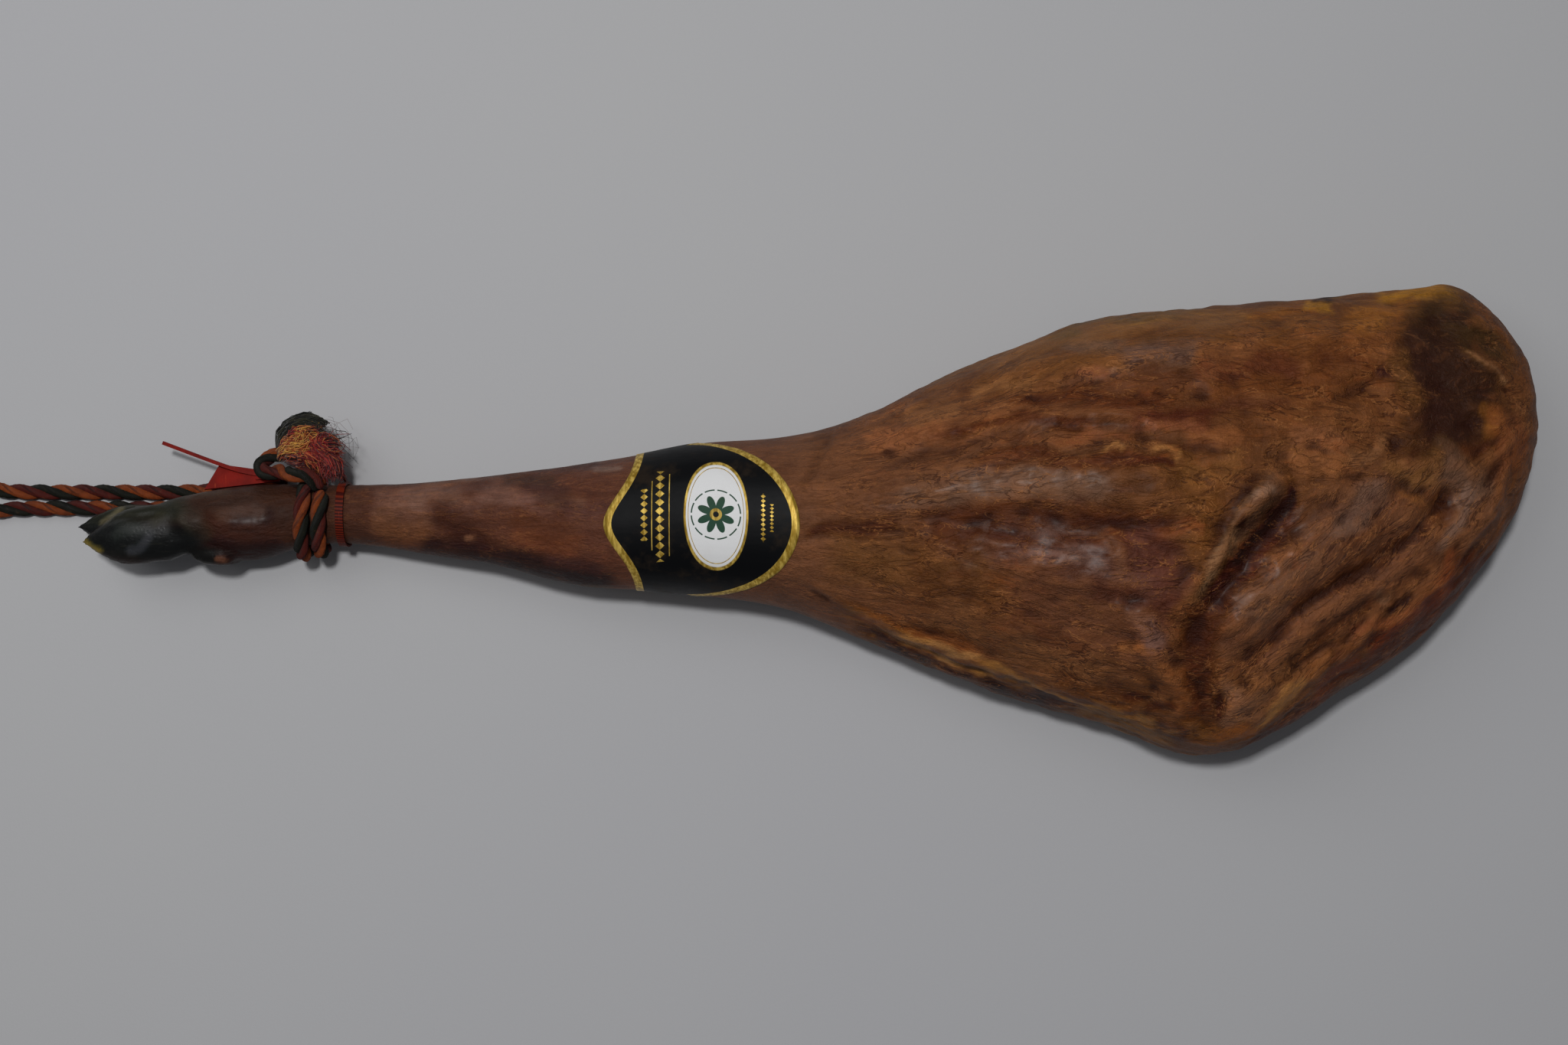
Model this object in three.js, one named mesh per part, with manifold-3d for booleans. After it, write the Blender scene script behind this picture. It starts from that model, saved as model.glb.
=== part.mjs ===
// A whole cured ham on the bone, lying on its fat side: the leg with its trotter and claws, the paper
// band round the hock, the three-strand rope that it hangs from, and the red plastic seal.
//
// Millimetres, +Z up. The leg runs along X, from the hoof tip (low X) to the rump (high X), and its
// back edge is at high Y. It rests on z = 0, on the flattened middle of the rump and on the rope turns.

import * as THREE from "three";
import { mergeVertices } from "three/addons/utils/BufferGeometryUtils.js";
import Module from "manifold-3d";

// Driving dimensions of the leg.
const LEG_LENGTH = 862; // hoof tip to rump
const LEG_BREADTH = 277; // across the rump, in Y
const LEG_THICKNESS = 128; // through the rump, in Z, before its underside is flattened
const UNDERSIDE_FLAT = 3; // how much of the rump's underside the table has pressed flat
const FIT_GAP = 0.3; // between any two pieces that touch, and under the rope

// Claws: the tips are measured from the leg's own hoof end, and the heels are in the foot.
const CLAW_WIDTH = 20.5;
const CLAW_SPREAD = 17.5; // between the middles of the two claws
const CLAW_HEEL_Y = -8;
const UPPER_CLAW = { tipX: 9, tipY: -16, length: 70, height: 35 };
const LOWER_CLAW = { tipX: 0, tipY: -7, length: 75, height: 29 };

// Dewclaws, behind the foot.
const DEWCLAW = { tipX: 75.5, tipY: -25.5, length: 27, radius: 7.5, lean: 8 };
const DEWCLAW_SPREAD = 18;

// Paper band: a strip round the leg, with a broad round face on the upper side.
const BAND_THICKNESS = 0.6;
const BAND_START = 338; // the strip's hoof-side edge, from the hoof tip
const STRIP_WIDTH = 36;
const HOOF_LOBE = 17; // how far the face reaches past the strip, towards the hoof
const RUMP_LOBE = 59; // and towards the rump

// Rope.
const ROPE_DIAMETER = 9.3;
const TURN_GAP = 0.7; // between one turn and the next
const TURNS = { firstX: 151.8, from: 52, sweep: 612 }; // degrees, from high Y by way of up
const TAIL_SWELL = 2.2; // how many times its own radius the frayed end opens out

// The loop's route between its two ends, which stop short of the last turn.
const LOOP_FROM_TURNS = 4.15; // clear, from the last turn to the loop's ends
const LOOP_ENDS_Y = [19.5, 8.5];
const LOOP_ROUTE = [
  [112, 18],
  [92, 15.2],
  [60, 13.6],
  [20, 13.6],
  [-20, 13.6],
  [-42, 14.2],
  [-62, 17.4],
  [-80, 22.8],
  [-95, 27.2],
  [-109, 28.6],
  [-119, 25.9],
  [-126.3, 18.6],
  [-129, 8.6],
  [-126.3, -1.4],
  [-119, -8.7],
  [-109, -11.4],
  [-95, -10],
  [-80, -5.6],
  [-62, 0],
  [-42, 3.2],
  [-20, 3.8],
  [20, 3.8],
  [60, 3.6],
  [92, 4.6],
  [112, 7],
];

// Plastic seal.
const STRAP_WIDTH = 4.6;
const STRAP_THICKNESS = 1.3;
const STRAP_FROM_TURNS = 5; // clear, from the first rope turn to the strap
const FLAG = { length: 40, breadth: 15.5, thickness: 1.6 };
const FREE_END = { length: 60, width: 2.6 };

// The leg's outline. Each row is a slice: its share of the length, its low and high edges as shares of
// the breadth, and its underside, widest level and upper side as shares of the thickness.
const SLICES = [
  [0.066, -0.064, 0.028, 0.090, 0.190, 0.295],
  [0.086, -0.066, 0.045, 0.050, 0.175, 0.328],
  [0.107, -0.092, 0.056, 0.035, 0.160, 0.332],
  [0.133, -0.098, 0.066, 0.028, 0.150, 0.322],
  [0.157, -0.072, 0.067, 0.026, 0.145, 0.295],
  [0.174, -0.062, 0.065, 0.025, 0.150, 0.283],
  [0.197, -0.063, 0.065, 0.033, 0.160, 0.290],
  [0.226, -0.073, 0.067, 0.046, 0.171, 0.318],
  [0.265, -0.094, 0.076, 0.059, 0.189, 0.369],
  [0.291, -0.104, 0.084, 0.070, 0.212, 0.404],
  [0.331, -0.138, 0.099, 0.076, 0.233, 0.470],
  [0.360, -0.155, 0.112, 0.078, 0.248, 0.518],
  [0.389, -0.159, 0.126, 0.076, 0.258, 0.560],
  [0.429, -0.170, 0.151, 0.071, 0.266, 0.621],
  [0.491, -0.199, 0.166, 0.056, 0.268, 0.700],
  [0.534, -0.250, 0.198, 0.039, 0.264, 0.754],
  [0.599, -0.336, 0.292, 0.012, 0.265, 0.850],
  [0.652, -0.394, 0.360, 0.002, 0.270, 0.925],
  [0.705, -0.440, 0.418, 0.000, 0.275, 0.985],
  [0.759, -0.503, 0.435, 0.000, 0.280, 0.995],
  [0.781, -0.512, 0.438, 0.000, 0.280, 0.975],
  [0.812, -0.480, 0.449, 0.002, 0.285, 0.935],
  [0.865, -0.380, 0.462, 0.020, 0.295, 0.850],
  [0.919, -0.264, 0.483, 0.055, 0.310, 0.755],
  [0.945, -0.181, 0.485, 0.085, 0.320, 0.700],
  [0.972, -0.072, 0.422, 0.130, 0.335, 0.630],
  [0.988, 0.029, 0.357, 0.185, 0.350, 0.565],
  [1.000, 0.209, 0.209, 0.365, 0.365, 0.365],
];
const SHANK_LIFTED = [0.2, 0.62]; // shares of the length between which the shank comes down to the rump
const RING_STEP = 12.5; // between the slices that the skin is drawn through
const RING_POINTS = 34;
const NOSE = 0.92; // share of the length where the rump starts to round off
const NOSE_RINGS = 10;
const SQUARENESS = { under: 2.9, upper: 2.25 }; // superellipse powers below and above the widest level

const wasm = await Module();
wasm.setup();

// ---- Solids -------------------------------------------------------------------------------------

// A closed geometry through rings of points, each ring closed on itself and the ends closed by fans.
function skin(rings) {
  const count = rings[0].length;
  const points = rings.flat();
  const faces = [];
  for (let i = 0; i < rings.length - 1; i++) {
    for (let j = 0; j < count; j++) {
      const a = i * count + j;
      const b = i * count + ((j + 1) % count);
      faces.push(a, b, a + count, b, b + count, a + count);
    }
  }
  const last = (rings.length - 1) * count;
  const firstMiddle = points.push(middleOf(rings[0])) - 1;
  const lastMiddle = points.push(middleOf(rings[rings.length - 1])) - 1;
  for (let j = 0; j < count; j++) {
    const next = (j + 1) % count;
    faces.push(firstMiddle, next, j, lastMiddle, last + j, last + next);
  }
  return new THREE.BufferGeometry().setFromPoints(points).setIndex(faces);
}

function middleOf(ring) {
  return ring.reduce((sum, p) => sum.add(p), new THREE.Vector3()).divideScalar(ring.length);
}

// A ring of points round a band, closed along its length too: the band's four corners, swept.
function hoop(loops) {
  const count = loops[0].length;
  const faces = [];
  loops.forEach((_, i) => {
    const here = i * count;
    const there = ((i + 1) % loops.length) * count;
    for (let j = 0; j < count; j++) {
      const next = (j + 1) % count;
      faces.push(here + j, here + next, there + j, here + next, there + next, there + j);
    }
  });
  return new THREE.BufferGeometry().setFromPoints(loops.flat()).setIndex(faces);
}

function solid(geometry) {
  const bare = geometry.index ? geometry.toNonIndexed() : geometry.clone();
  bare.deleteAttribute("normal");
  bare.deleteAttribute("uv");
  const merged = mergeVertices(bare, 1e-3);
  const made = new wasm.Manifold(
    new wasm.Mesh({
      numProp: 3,
      vertProperties: merged.attributes.position.array,
      triVerts: new Uint32Array(merged.index.array),
    }),
  );
  if (made.volume() <= 0) throw new Error("a solid is inside out");
  return made;
}

function geometryOf(made) {
  const mesh = made.getMesh();
  const points = new Float32Array(mesh.numVert * 3);
  for (let i = 0; i < mesh.numVert; i++) {
    points.set(mesh.vertProperties.subarray(i * mesh.numProp, i * mesh.numProp + 3), i * 3);
  }
  const geometry = new THREE.BufferGeometry();
  geometry.setAttribute("position", new THREE.BufferAttribute(points, 3));
  geometry.setIndex(new THREE.BufferAttribute(mesh.triVerts, 1));
  geometry.computeVertexNormals();
  return geometry;
}

function tube(curve, radius, steps, sides) {
  const section = new THREE.Shape().absarc(0, 0, radius, 0, 2 * Math.PI);
  return new THREE.ExtrudeGeometry(section, {
    steps,
    curveSegments: sides,
    bevelEnabled: false,
    extrudePath: curve,
  });
}

// ---- Leg ----------------------------------------------------------------------------------------

// The slices are joined by a cubic in this parameter, in which a round nose runs straight to its tip.
const along = (share) => Math.asin(share) / (Math.PI / 2);
const outline = new THREE.CubicInterpolant(
  SLICES.map(([share]) => along(share)),
  SLICES.flatMap(([, ...edges]) => edges),
  5,
);

// The shank stands clear of the table by the rope that goes under it.
function lift(x) {
  const fade = THREE.MathUtils.smoothstep(x / LEG_LENGTH, SHANK_LIFTED[0], SHANK_LIFTED[1]);
  return (ROPE_DIAMETER + 3 * FIT_GAP) * (1 - fade);
}

// The leg's slice at a distance from the hoof tip, made larger all round by grow.
function slice(x, grow = 0) {
  const [low, high, under, wide, upper] = outline.evaluate(along(x / LEG_LENGTH));
  return {
    y: ((low + high) / 2) * LEG_BREADTH,
    halfY: ((high - low) / 2) * LEG_BREADTH + grow,
    z: wide * LEG_THICKNESS - UNDERSIDE_FLAT + lift(x),
    below: (wide - under) * LEG_THICKNESS + grow,
    above: (upper - wide) * LEG_THICKNESS + grow,
  };
}

// A point of the leg's skin. Angle 0 faces high Y, and a quarter turn faces up.
function onLeg(x, degrees, grow = 0) {
  const s = slice(x, grow);
  const angle = THREE.MathUtils.degToRad(degrees);
  const cos = Math.cos(angle);
  const sin = Math.sin(angle);
  const power = 2 / (sin < 0 ? SQUARENESS.under : SQUARENESS.upper);
  return new THREE.Vector3(
    x,
    s.y + s.halfY * Math.sign(cos) * Math.abs(cos) ** power,
    s.z + (sin < 0 ? s.below : s.above) * Math.sign(sin) * Math.abs(sin) ** power,
  );
}

function legSolid(grow = 0) {
  const start = SLICES[0][0] * LEG_LENGTH;
  const nose = NOSE * LEG_LENGTH;
  const steps = Math.round((nose - start) / RING_STEP);
  const places = [];
  for (let i = 0; i < steps; i++) places.push(start + ((nose - start) * i) / steps);
  for (let i = 0; i < NOSE_RINGS; i++) {
    const u = along(NOSE) + ((1 - along(NOSE)) * i) / NOSE_RINGS;
    places.push(LEG_LENGTH * Math.sin((u * Math.PI) / 2));
  }
  return solid(skin(places.map((x) => ringOnLeg(x, grow))));
}

function ringOnLeg(x, grow) {
  return Array.from({ length: RING_POINTS }, (_, j) => onLeg(x, (360 * j) / RING_POINTS, grow));
}

// One claw: a horn capsule, drawn out to a tip at low X. Its side that faces the cleft is flatter.
function clawSolid({ tipX, tipY, length, height }, z, cleftSide) {
  const rings = [];
  const steps = 14;
  for (let i = 0; i <= steps; i++) {
    const t = 0.02 + (0.98 * i) / steps; // 0 at the tip, 1 at the heel
    const opening = Math.sin(Math.min(1, t / 0.5) * (Math.PI / 2)) ** 1.1;
    const swell = opening * (1 - 1.5 * Math.max(0, t - 0.8));
    rings.push(
      Array.from({ length: 16 }, (_, j) => {
        const angle = (2 * Math.PI * j) / 16;
        const flatter = Math.sin(angle) * cleftSide > 0 ? 0.82 : 1;
        return new THREE.Vector3(
          tipX + length * t,
          tipY + (CLAW_HEEL_Y - tipY) * t + (height / 2) * swell * Math.cos(angle),
          z + (CLAW_WIDTH / 2) * swell * flatter * Math.sin(angle),
        );
      }),
    );
  }
  return solid(skin(rings));
}

// One dewclaw: a blunt cone whose base is in the foot, and which points to low X.
function dewclawSolid(z) {
  const profile = [
    [0, 0],
    [0.3, 0.05],
    [0.7, 0.3],
    [1, 0.65],
    [0.9, 0.88],
    [0, 1],
  ].map(([r, t]) => new THREE.Vector2(r * DEWCLAW.radius, t * DEWCLAW.length));
  const cone = new THREE.LatheGeometry(profile, 14);
  cone.rotateZ(THREE.MathUtils.degToRad(DEWCLAW.lean - 90)); // its axis turns from Y to X
  cone.translate(DEWCLAW.tipX, DEWCLAW.tipY, z);
  return solid(cone);
}

function hamSolid() {
  const heel = slice(UPPER_CLAW.tipX + UPPER_CLAW.length);
  const lowerZ = 3 * FIT_GAP + ROPE_DIAMETER + CLAW_WIDTH / 2; // the rope's loop goes under the foot
  const floor = new THREE.BoxGeometry(2 * LEG_LENGTH, 2 * LEG_BREADTH, LEG_THICKNESS);
  floor.translate(LEG_LENGTH / 2, 0, -LEG_THICKNESS / 2);
  return legSolid()
    .add(clawSolid(UPPER_CLAW, lowerZ + CLAW_SPREAD, -1))
    .add(clawSolid(LOWER_CLAW, lowerZ, 1))
    .add(dewclawSolid(heel.z + DEWCLAW_SPREAD / 2))
    .add(dewclawSolid(heel.z - DEWCLAW_SPREAD / 2))
    .subtract(solid(floor));
}

// ---- Paper band ---------------------------------------------------------------------------------

function bandSolid() {
  const sleeve = legSolid(FIT_GAP + BAND_THICKNESS).subtract(legSolid(FIT_GAP));
  const loops = [];
  const points = 72;
  for (let i = 0; i < points; i++) {
    const degrees = (360 * i) / points;
    const facing = Math.max(0, Math.sin(THREE.MathUtils.degToRad(degrees))); // 1 on the upper side
    const low = BAND_START - HOOF_LOBE * facing ** 2;
    const high = BAND_START + STRIP_WIDTH + RUMP_LOBE * facing ** 0.9;
    const reach = 4;
    loops.push([
      onLeg(low, degrees, -reach),
      onLeg(high, degrees, -reach),
      onLeg(high, degrees, reach),
      onLeg(low, degrees, reach),
    ]);
  }
  return sleeve.intersect(solid(hoop(loops)));
}

// ---- Rope ---------------------------------------------------------------------------------------

const ROPE_RADIUS = ROPE_DIAMETER / 2;
const ROPE_OUT = 2 * FIT_GAP + ROPE_RADIUS; // from the skin to the middle of a rope that lies on it
const ROPE_SIDES = 5; // quarter sides: the section has ten

// How far towards the hoof the turns have come after so many degrees.
function turnsRun(degrees) {
  return ((ROPE_DIAMETER + TURN_GAP) * degrees) / 360;
}

function turnPoint(degrees, grow = ROPE_OUT) {
  return onLeg(TURNS.firstX - turnsRun(degrees - TURNS.from), degrees, grow);
}

// The rope's turns round the shank.
function turnsSolid(clear = 0) {
  const ends = (clear / ROPE_OUT) * 10;
  const points = [];
  for (let a = -ends; a <= TURNS.sweep + ends; a += 12) points.push(turnPoint(TURNS.from + a));
  const curve = new THREE.CatmullRomCurve3(points, false, "centripetal");
  return solid(tube(curve, ROPE_RADIUS + clear, 60, ROPE_SIDES));
}

// The bight beside the turns. It starts at the frayed end, turns back over itself towards the hoof,
// and crosses the last turn to reach the first one.
const bightCurve = (() => {
  const side = onLeg(TURNS.firstX - 25, 0, ROPE_OUT); // beside the shank
  const beside = (x, out, up) => new THREE.Vector3(side.x + x, side.y + out, side.z + up);
  const over = 2 * ROPE_RADIUS + 2 * FIT_GAP; // out past the turn that the bight crosses
  return new THREE.CatmullRomCurve3(
    [
      beside(13, 10.3, -7),
      beside(1, 12.6, -7),
      beside(-9, 10, -5),
      beside(-12.5, 5.4, 0),
      beside(-9, 1.4, 6),
      beside(2, 1.4, 11),
      onLeg(TURNS.firstX - 16, 42, ROPE_OUT + over),
      onLeg(TURNS.firstX - 9, 44, ROPE_OUT + over),
      onLeg(TURNS.firstX - 3.5, 46, ROPE_OUT + 0.6 * over),
      onLeg(TURNS.firstX - 0.5, 49, ROPE_OUT + 0.12 * over),
      turnPoint(TURNS.from),
    ],
    false,
    "centripetal",
  );
})();

function bightSolid(clear = 0) {
  const whole = solid(tube(bightCurve, ROPE_RADIUS + clear, 34, ROPE_SIDES));
  return clear > 0 ? whole : whole.subtract(turnsSolid(FIT_GAP));
}

// The frayed end: it stands on the bight, arches over, and opens out into a brush.
function tailSolid() {
  const foot = bightCurve.getPointAt(0.11);
  const from = (x, y, z) => new THREE.Vector3(foot.x + x, foot.y + y, foot.z + z);
  const curve = new THREE.CatmullRomCurve3(
    [
      from(-2, 1, 3),
      from(-3, 2.5, 9),
      from(0, 9, 13),
      from(8, 14, 15),
      from(17, 13, 17),
      from(24, 6, 18),
      from(26, -3, 19),
    ],
    false,
    "centripetal",
  );
  const rings = [];
  const steps = 14;
  for (let i = 0; i <= steps; i++) {
    const t = i / steps;
    const open = ROPE_RADIUS * (0.92 + (TAIL_SWELL - 0.92) * Math.sin(Math.min(1, t / 0.85) * 1.2) ** 2);
    const radius = open * (t > 0.85 ? Math.sqrt(1 - ((t - 0.85) / 0.19) ** 2) : 1);
    rings.push(ringAcross(curve.getPointAt(t), curve.getTangentAt(t), radius, 12));
  }
  return solid(skin(rings)).subtract(bightSolid(FIT_GAP));
}

function ringAcross(middle, tangent, radius, count) {
  const up = new THREE.Vector3(0, 0, 1);
  const side = Math.abs(tangent.z) > 0.95 ? new THREE.Vector3(-1, 1, 0) : up.clone().cross(tangent);
  side.addScaledVector(tangent, -side.dot(tangent)).normalize();
  const other = tangent.clone().cross(side);
  return Array.from({ length: count }, (_, j) => {
    const angle = (2 * Math.PI * j) / count;
    return middle
      .clone()
      .addScaledVector(side, radius * Math.cos(angle))
      .addScaledVector(other, radius * Math.sin(angle));
  });
}

// The loop that the ham hangs by, slack on the table: under the foot, past the claws and back.
function loopSolid() {
  const z = FIT_GAP + ROPE_RADIUS;
  const endsX = TURNS.firstX - turnsRun(TURNS.sweep) - ROPE_RADIUS - LOOP_FROM_TURNS;
  const route = [[endsX, LOOP_ENDS_Y[0]], ...LOOP_ROUTE, [endsX, LOOP_ENDS_Y[1]]];
  const curve = new THREE.CatmullRomCurve3(
    route.map(([x, y]) => new THREE.Vector3(x, y, z)),
    false,
    "centripetal",
  );
  return solid(tube(curve, ROPE_RADIUS, 78, ROPE_SIDES));
}

// ---- Plastic seal -------------------------------------------------------------------------------

// A flat strap through points, its width along up.
function strap(points, width, thickness, up, steps) {
  const curve = new THREE.CatmullRomCurve3(points, false, "centripetal");
  const rings = [];
  for (let i = 0; i <= steps; i++) {
    const p = curve.getPointAt(i / steps);
    const tangent = curve.getTangentAt(i / steps);
    const across = up.clone().addScaledVector(tangent, -up.dot(tangent)).normalize();
    const out = tangent.clone().cross(across);
    const corner = (w, t) => p.clone().addScaledVector(across, (w * width) / 2).addScaledVector(out, (t * thickness) / 2);
    rings.push([corner(1, 1), corner(-1, 1), corner(-1, -1), corner(1, -1)]);
  }
  return solid(skin(rings));
}

// One moulding: the strap round the shank, the strip that leads to the flag, the flag, its free end.
function sealSolid() {
  const x = TURNS.firstX + ROPE_RADIUS + STRAP_FROM_TURNS + STRAP_WIDTH / 2;
  const loops = Array.from({ length: RING_POINTS }, (_, j) => {
    const degrees = (360 * j) / RING_POINTS;
    return [
      onLeg(x - STRAP_WIDTH / 2, degrees, FIT_GAP),
      onLeg(x + STRAP_WIDTH / 2, degrees, FIT_GAP),
      onLeg(x + STRAP_WIDTH / 2, degrees, FIT_GAP + STRAP_THICKNESS),
      onLeg(x - STRAP_WIDTH / 2, degrees, FIT_GAP + STRAP_THICKNESS),
    ];
  });
  const up = new THREE.Vector3(0, 0, 1);
  const pastTurns = 2 * FIT_GAP + ROPE_DIAMETER + STRAP_THICKNESS / 2 + 0.6;
  const low = -28; // degrees: below the widest level of the shank
  const root = onLeg(TURNS.firstX - 32, -8, 4.2);
  const lead = [
    onLeg(x, low, FIT_GAP + STRAP_THICKNESS / 2),
    onLeg(x - 5, low, 0.75 * pastTurns),
    onLeg(TURNS.firstX, low, pastTurns),
    onLeg(TURNS.firstX - 12, low, pastTurns),
    onLeg(TURNS.firstX - 24, low + 4, pastTurns - 2),
    root,
    root.clone().add(new THREE.Vector3(-10, -1, 0.6)),
  ];
  const flagShape = new THREE.Shape([
    new THREE.Vector2(4, -2.6),
    new THREE.Vector2(4, 2.6),
    new THREE.Vector2(8 - FLAG.length, FLAG.breadth * 0.5),
    new THREE.Vector2(-FLAG.length, -FLAG.breadth * 0.5),
  ]);
  const flag = new THREE.ExtrudeGeometry(flagShape, { depth: FLAG.thickness, bevelEnabled: false });
  flag.translate(0, 0, -FLAG.thickness / 2);
  flag.rotateX(THREE.MathUtils.degToRad(-14));
  flag.translate(root.x, root.y, root.z);
  const free = [
    root.clone().add(new THREE.Vector3(-4, 1, 0)),
    root.clone().add(new THREE.Vector3(-0.45 * FLAG.length, 0.22 * FLAG.breadth, 1.5)),
    root.clone().add(new THREE.Vector3(8 - FLAG.length, 0.52 * FLAG.breadth, 3)),
    root.clone().add(new THREE.Vector3(-4 - FREE_END.length, 1.3 * FLAG.breadth, 5)),
  ];
  return solid(hoop(loops))
    .add(strap(lead, STRAP_WIDTH, STRAP_THICKNESS, up, 26))
    .add(solid(flag))
    .add(strap(free, FREE_END.width, FREE_END.width * 0.8, up, 8))
    .subtract(bightSolid(FIT_GAP))
    .subtract(turnsSolid(FIT_GAP))
    .subtract(legSolid(FIT_GAP));
}

// ---- Ham ----------------------------------------------------------------------------------------

const PIECES = [
  ["ham", hamSolid, 0x7a4524],
  ["label_band", bandSolid, 0x15171b],
  ["rope_turns", turnsSolid, 0x8a4a26],
  ["rope_knot", bightSolid, 0x8a4a26],
  ["rope_tail", tailSolid, 0x7c2030],
  ["rope_loop", loopSolid, 0x8a4a26],
  ["seal_tie", sealSolid, 0xa52a16],
];

const ham = new THREE.Group();
ham.name = "cured_ham";
const extent = new THREE.Box3();
for (const [name, make, color] of PIECES) {
  const material = new THREE.MeshStandardMaterial({ color, roughness: 0.6 });
  const mesh = new THREE.Mesh(geometryOf(make()), material);
  mesh.name = name;
  ham.add(mesh);
  if (name !== "rope_loop") extent.expandByObject(mesh);
}
for (const mesh of ham.children) {
  mesh.geometry.translate(-(extent.min.x + extent.max.x) / 2, -(extent.min.y + extent.max.y) / 2, 0);
}

export default ham;
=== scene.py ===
"""A whole cured ham on the bone, with its paper band, hanging rope and plastic seal.

The solid frame gives every size and place. The leg is a finely meshed copy of the frame's solid, modelled
with strokes and painted with dabs. The band, rope and frayed end are built round it; the frame's own seal
is given its finish. The script works in metres; strokes and dabs are in millimetres across the upper side,
X along the leg and Y across.
"""

import logging
import math
from dataclasses import dataclass, field
from enum import Enum

import bpy
import numpy as np
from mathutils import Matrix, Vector
from mathutils.bvhtree import BVHTree


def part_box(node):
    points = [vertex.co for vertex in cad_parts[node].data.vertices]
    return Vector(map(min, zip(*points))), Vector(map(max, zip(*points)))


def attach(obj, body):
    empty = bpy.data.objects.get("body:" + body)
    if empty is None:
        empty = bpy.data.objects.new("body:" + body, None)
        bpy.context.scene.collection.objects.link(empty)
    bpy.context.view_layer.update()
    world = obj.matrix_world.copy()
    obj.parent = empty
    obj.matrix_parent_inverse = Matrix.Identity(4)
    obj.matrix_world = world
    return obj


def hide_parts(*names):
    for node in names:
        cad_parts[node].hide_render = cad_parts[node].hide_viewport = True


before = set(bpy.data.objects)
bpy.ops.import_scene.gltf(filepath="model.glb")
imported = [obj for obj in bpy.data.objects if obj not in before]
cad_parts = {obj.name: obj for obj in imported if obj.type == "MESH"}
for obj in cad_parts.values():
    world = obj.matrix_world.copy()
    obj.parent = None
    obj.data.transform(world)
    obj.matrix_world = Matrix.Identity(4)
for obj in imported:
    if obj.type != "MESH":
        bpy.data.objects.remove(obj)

MM = 0.001
TAU = 2 * math.pi
RAY = 0.3  # length of a ray that is cast at the leg, in metres
GAIN = 1.95  # from how bright a colour shows to the surface's own
VEIL = 0.009  # what the shine adds everywhere
log = logging.getLogger("cured_ham")


# ---- Shader arithmetic ----


class Wire:
    """A socket of a material, with arithmetic that adds the nodes it needs."""

    def __init__(self, finish: "NodeSheet", socket: bpy.types.NodeSocket) -> None:
        """Wraps a socket.

        Args:
            finish: The sheet of nodes that the socket is on.
            socket: The output socket.
        """
        self.sheet = finish
        self.socket = socket

    def _math(self, operation: str, *others: object, first: object = None) -> "Wire":
        """Adds a Math node.

        Args:
            operation: The node's operation.
            others: The inputs after this wire.
            first: What goes before this wire, where the operation is reflected.

        Returns:
            The node's value.
        """
        values = (self, *others) if first is None else (first, self)
        node = self.sheet.node("ShaderNodeMath", {"operation": operation}, dict(enumerate(values)))
        return Wire(self.sheet, node.outputs[0])

    def __add__(self, other: object) -> "Wire":
        """Sum."""
        return self._math("ADD", other)

    __radd__ = __add__

    def __sub__(self, other: object) -> "Wire":
        """Difference."""
        return self._math("SUBTRACT", other)

    def __rsub__(self, other: object) -> "Wire":
        """Difference from a number."""
        return self._math("SUBTRACT", first=other)

    def __mul__(self, other: object) -> "Wire":
        """Product."""
        return self._math("MULTIPLY", other)

    __rmul__ = __mul__

    def __truediv__(self, other: object) -> "Wire":
        """Quotient."""
        return self._math("DIVIDE", other)

    def __pow__(self, other: object) -> "Wire":
        """Power."""
        return self._math("POWER", other)

    def sine(self) -> "Wire":
        """Sine, in radians."""
        return self._math("SINE")

    def swing(self, amount: object) -> "Wire":
        """A noise's swing about its middle, as a factor near 1."""
        return ((self - 0.5) * amount + 1.0).most(0.2)

    def line(self, width: float) -> "Wire":
        """Thin lines where a noise passes its middle."""
        return ((self - 0.5).size()).rise(width, 0.0)

    def size(self) -> "Wire":
        """Absolute value."""
        return self._math("ABSOLUTE")

    def least(self, other: object) -> "Wire":
        """The smaller of two values."""
        return self._math("MINIMUM", other)

    def most(self, other: object) -> "Wire":
        """The larger of two values."""
        return self._math("MAXIMUM", other)

    def turn_from(self, other: "Wire") -> "Wire":
        """The angle whose tangent is this over the other, in radians."""
        return self._math("ARCTAN2", other)

    def fraction(self) -> "Wire":
        """The part after the point."""
        return self._math("FRACT")

    def rise(self, low: float, high: float) -> "Wire":
        """A smooth step from 0 at low to 1 at high; high may be the smaller one.

        Args:
            low: Where the step starts.
            high: Where it ends.

        Returns:
            The step.
        """
        values = {"Value": self, "From Min": low, "From Max": high}
        if low > high:
            values = {"Value": self, "From Min": high, "From Max": low, "To Min": 1.0, "To Max": 0.0}
        node = self.sheet.node("ShaderNodeMapRange", {"interpolation_type": "SMOOTHSTEP"}, values)
        return Wire(self.sheet, node.outputs["Result"])


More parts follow.
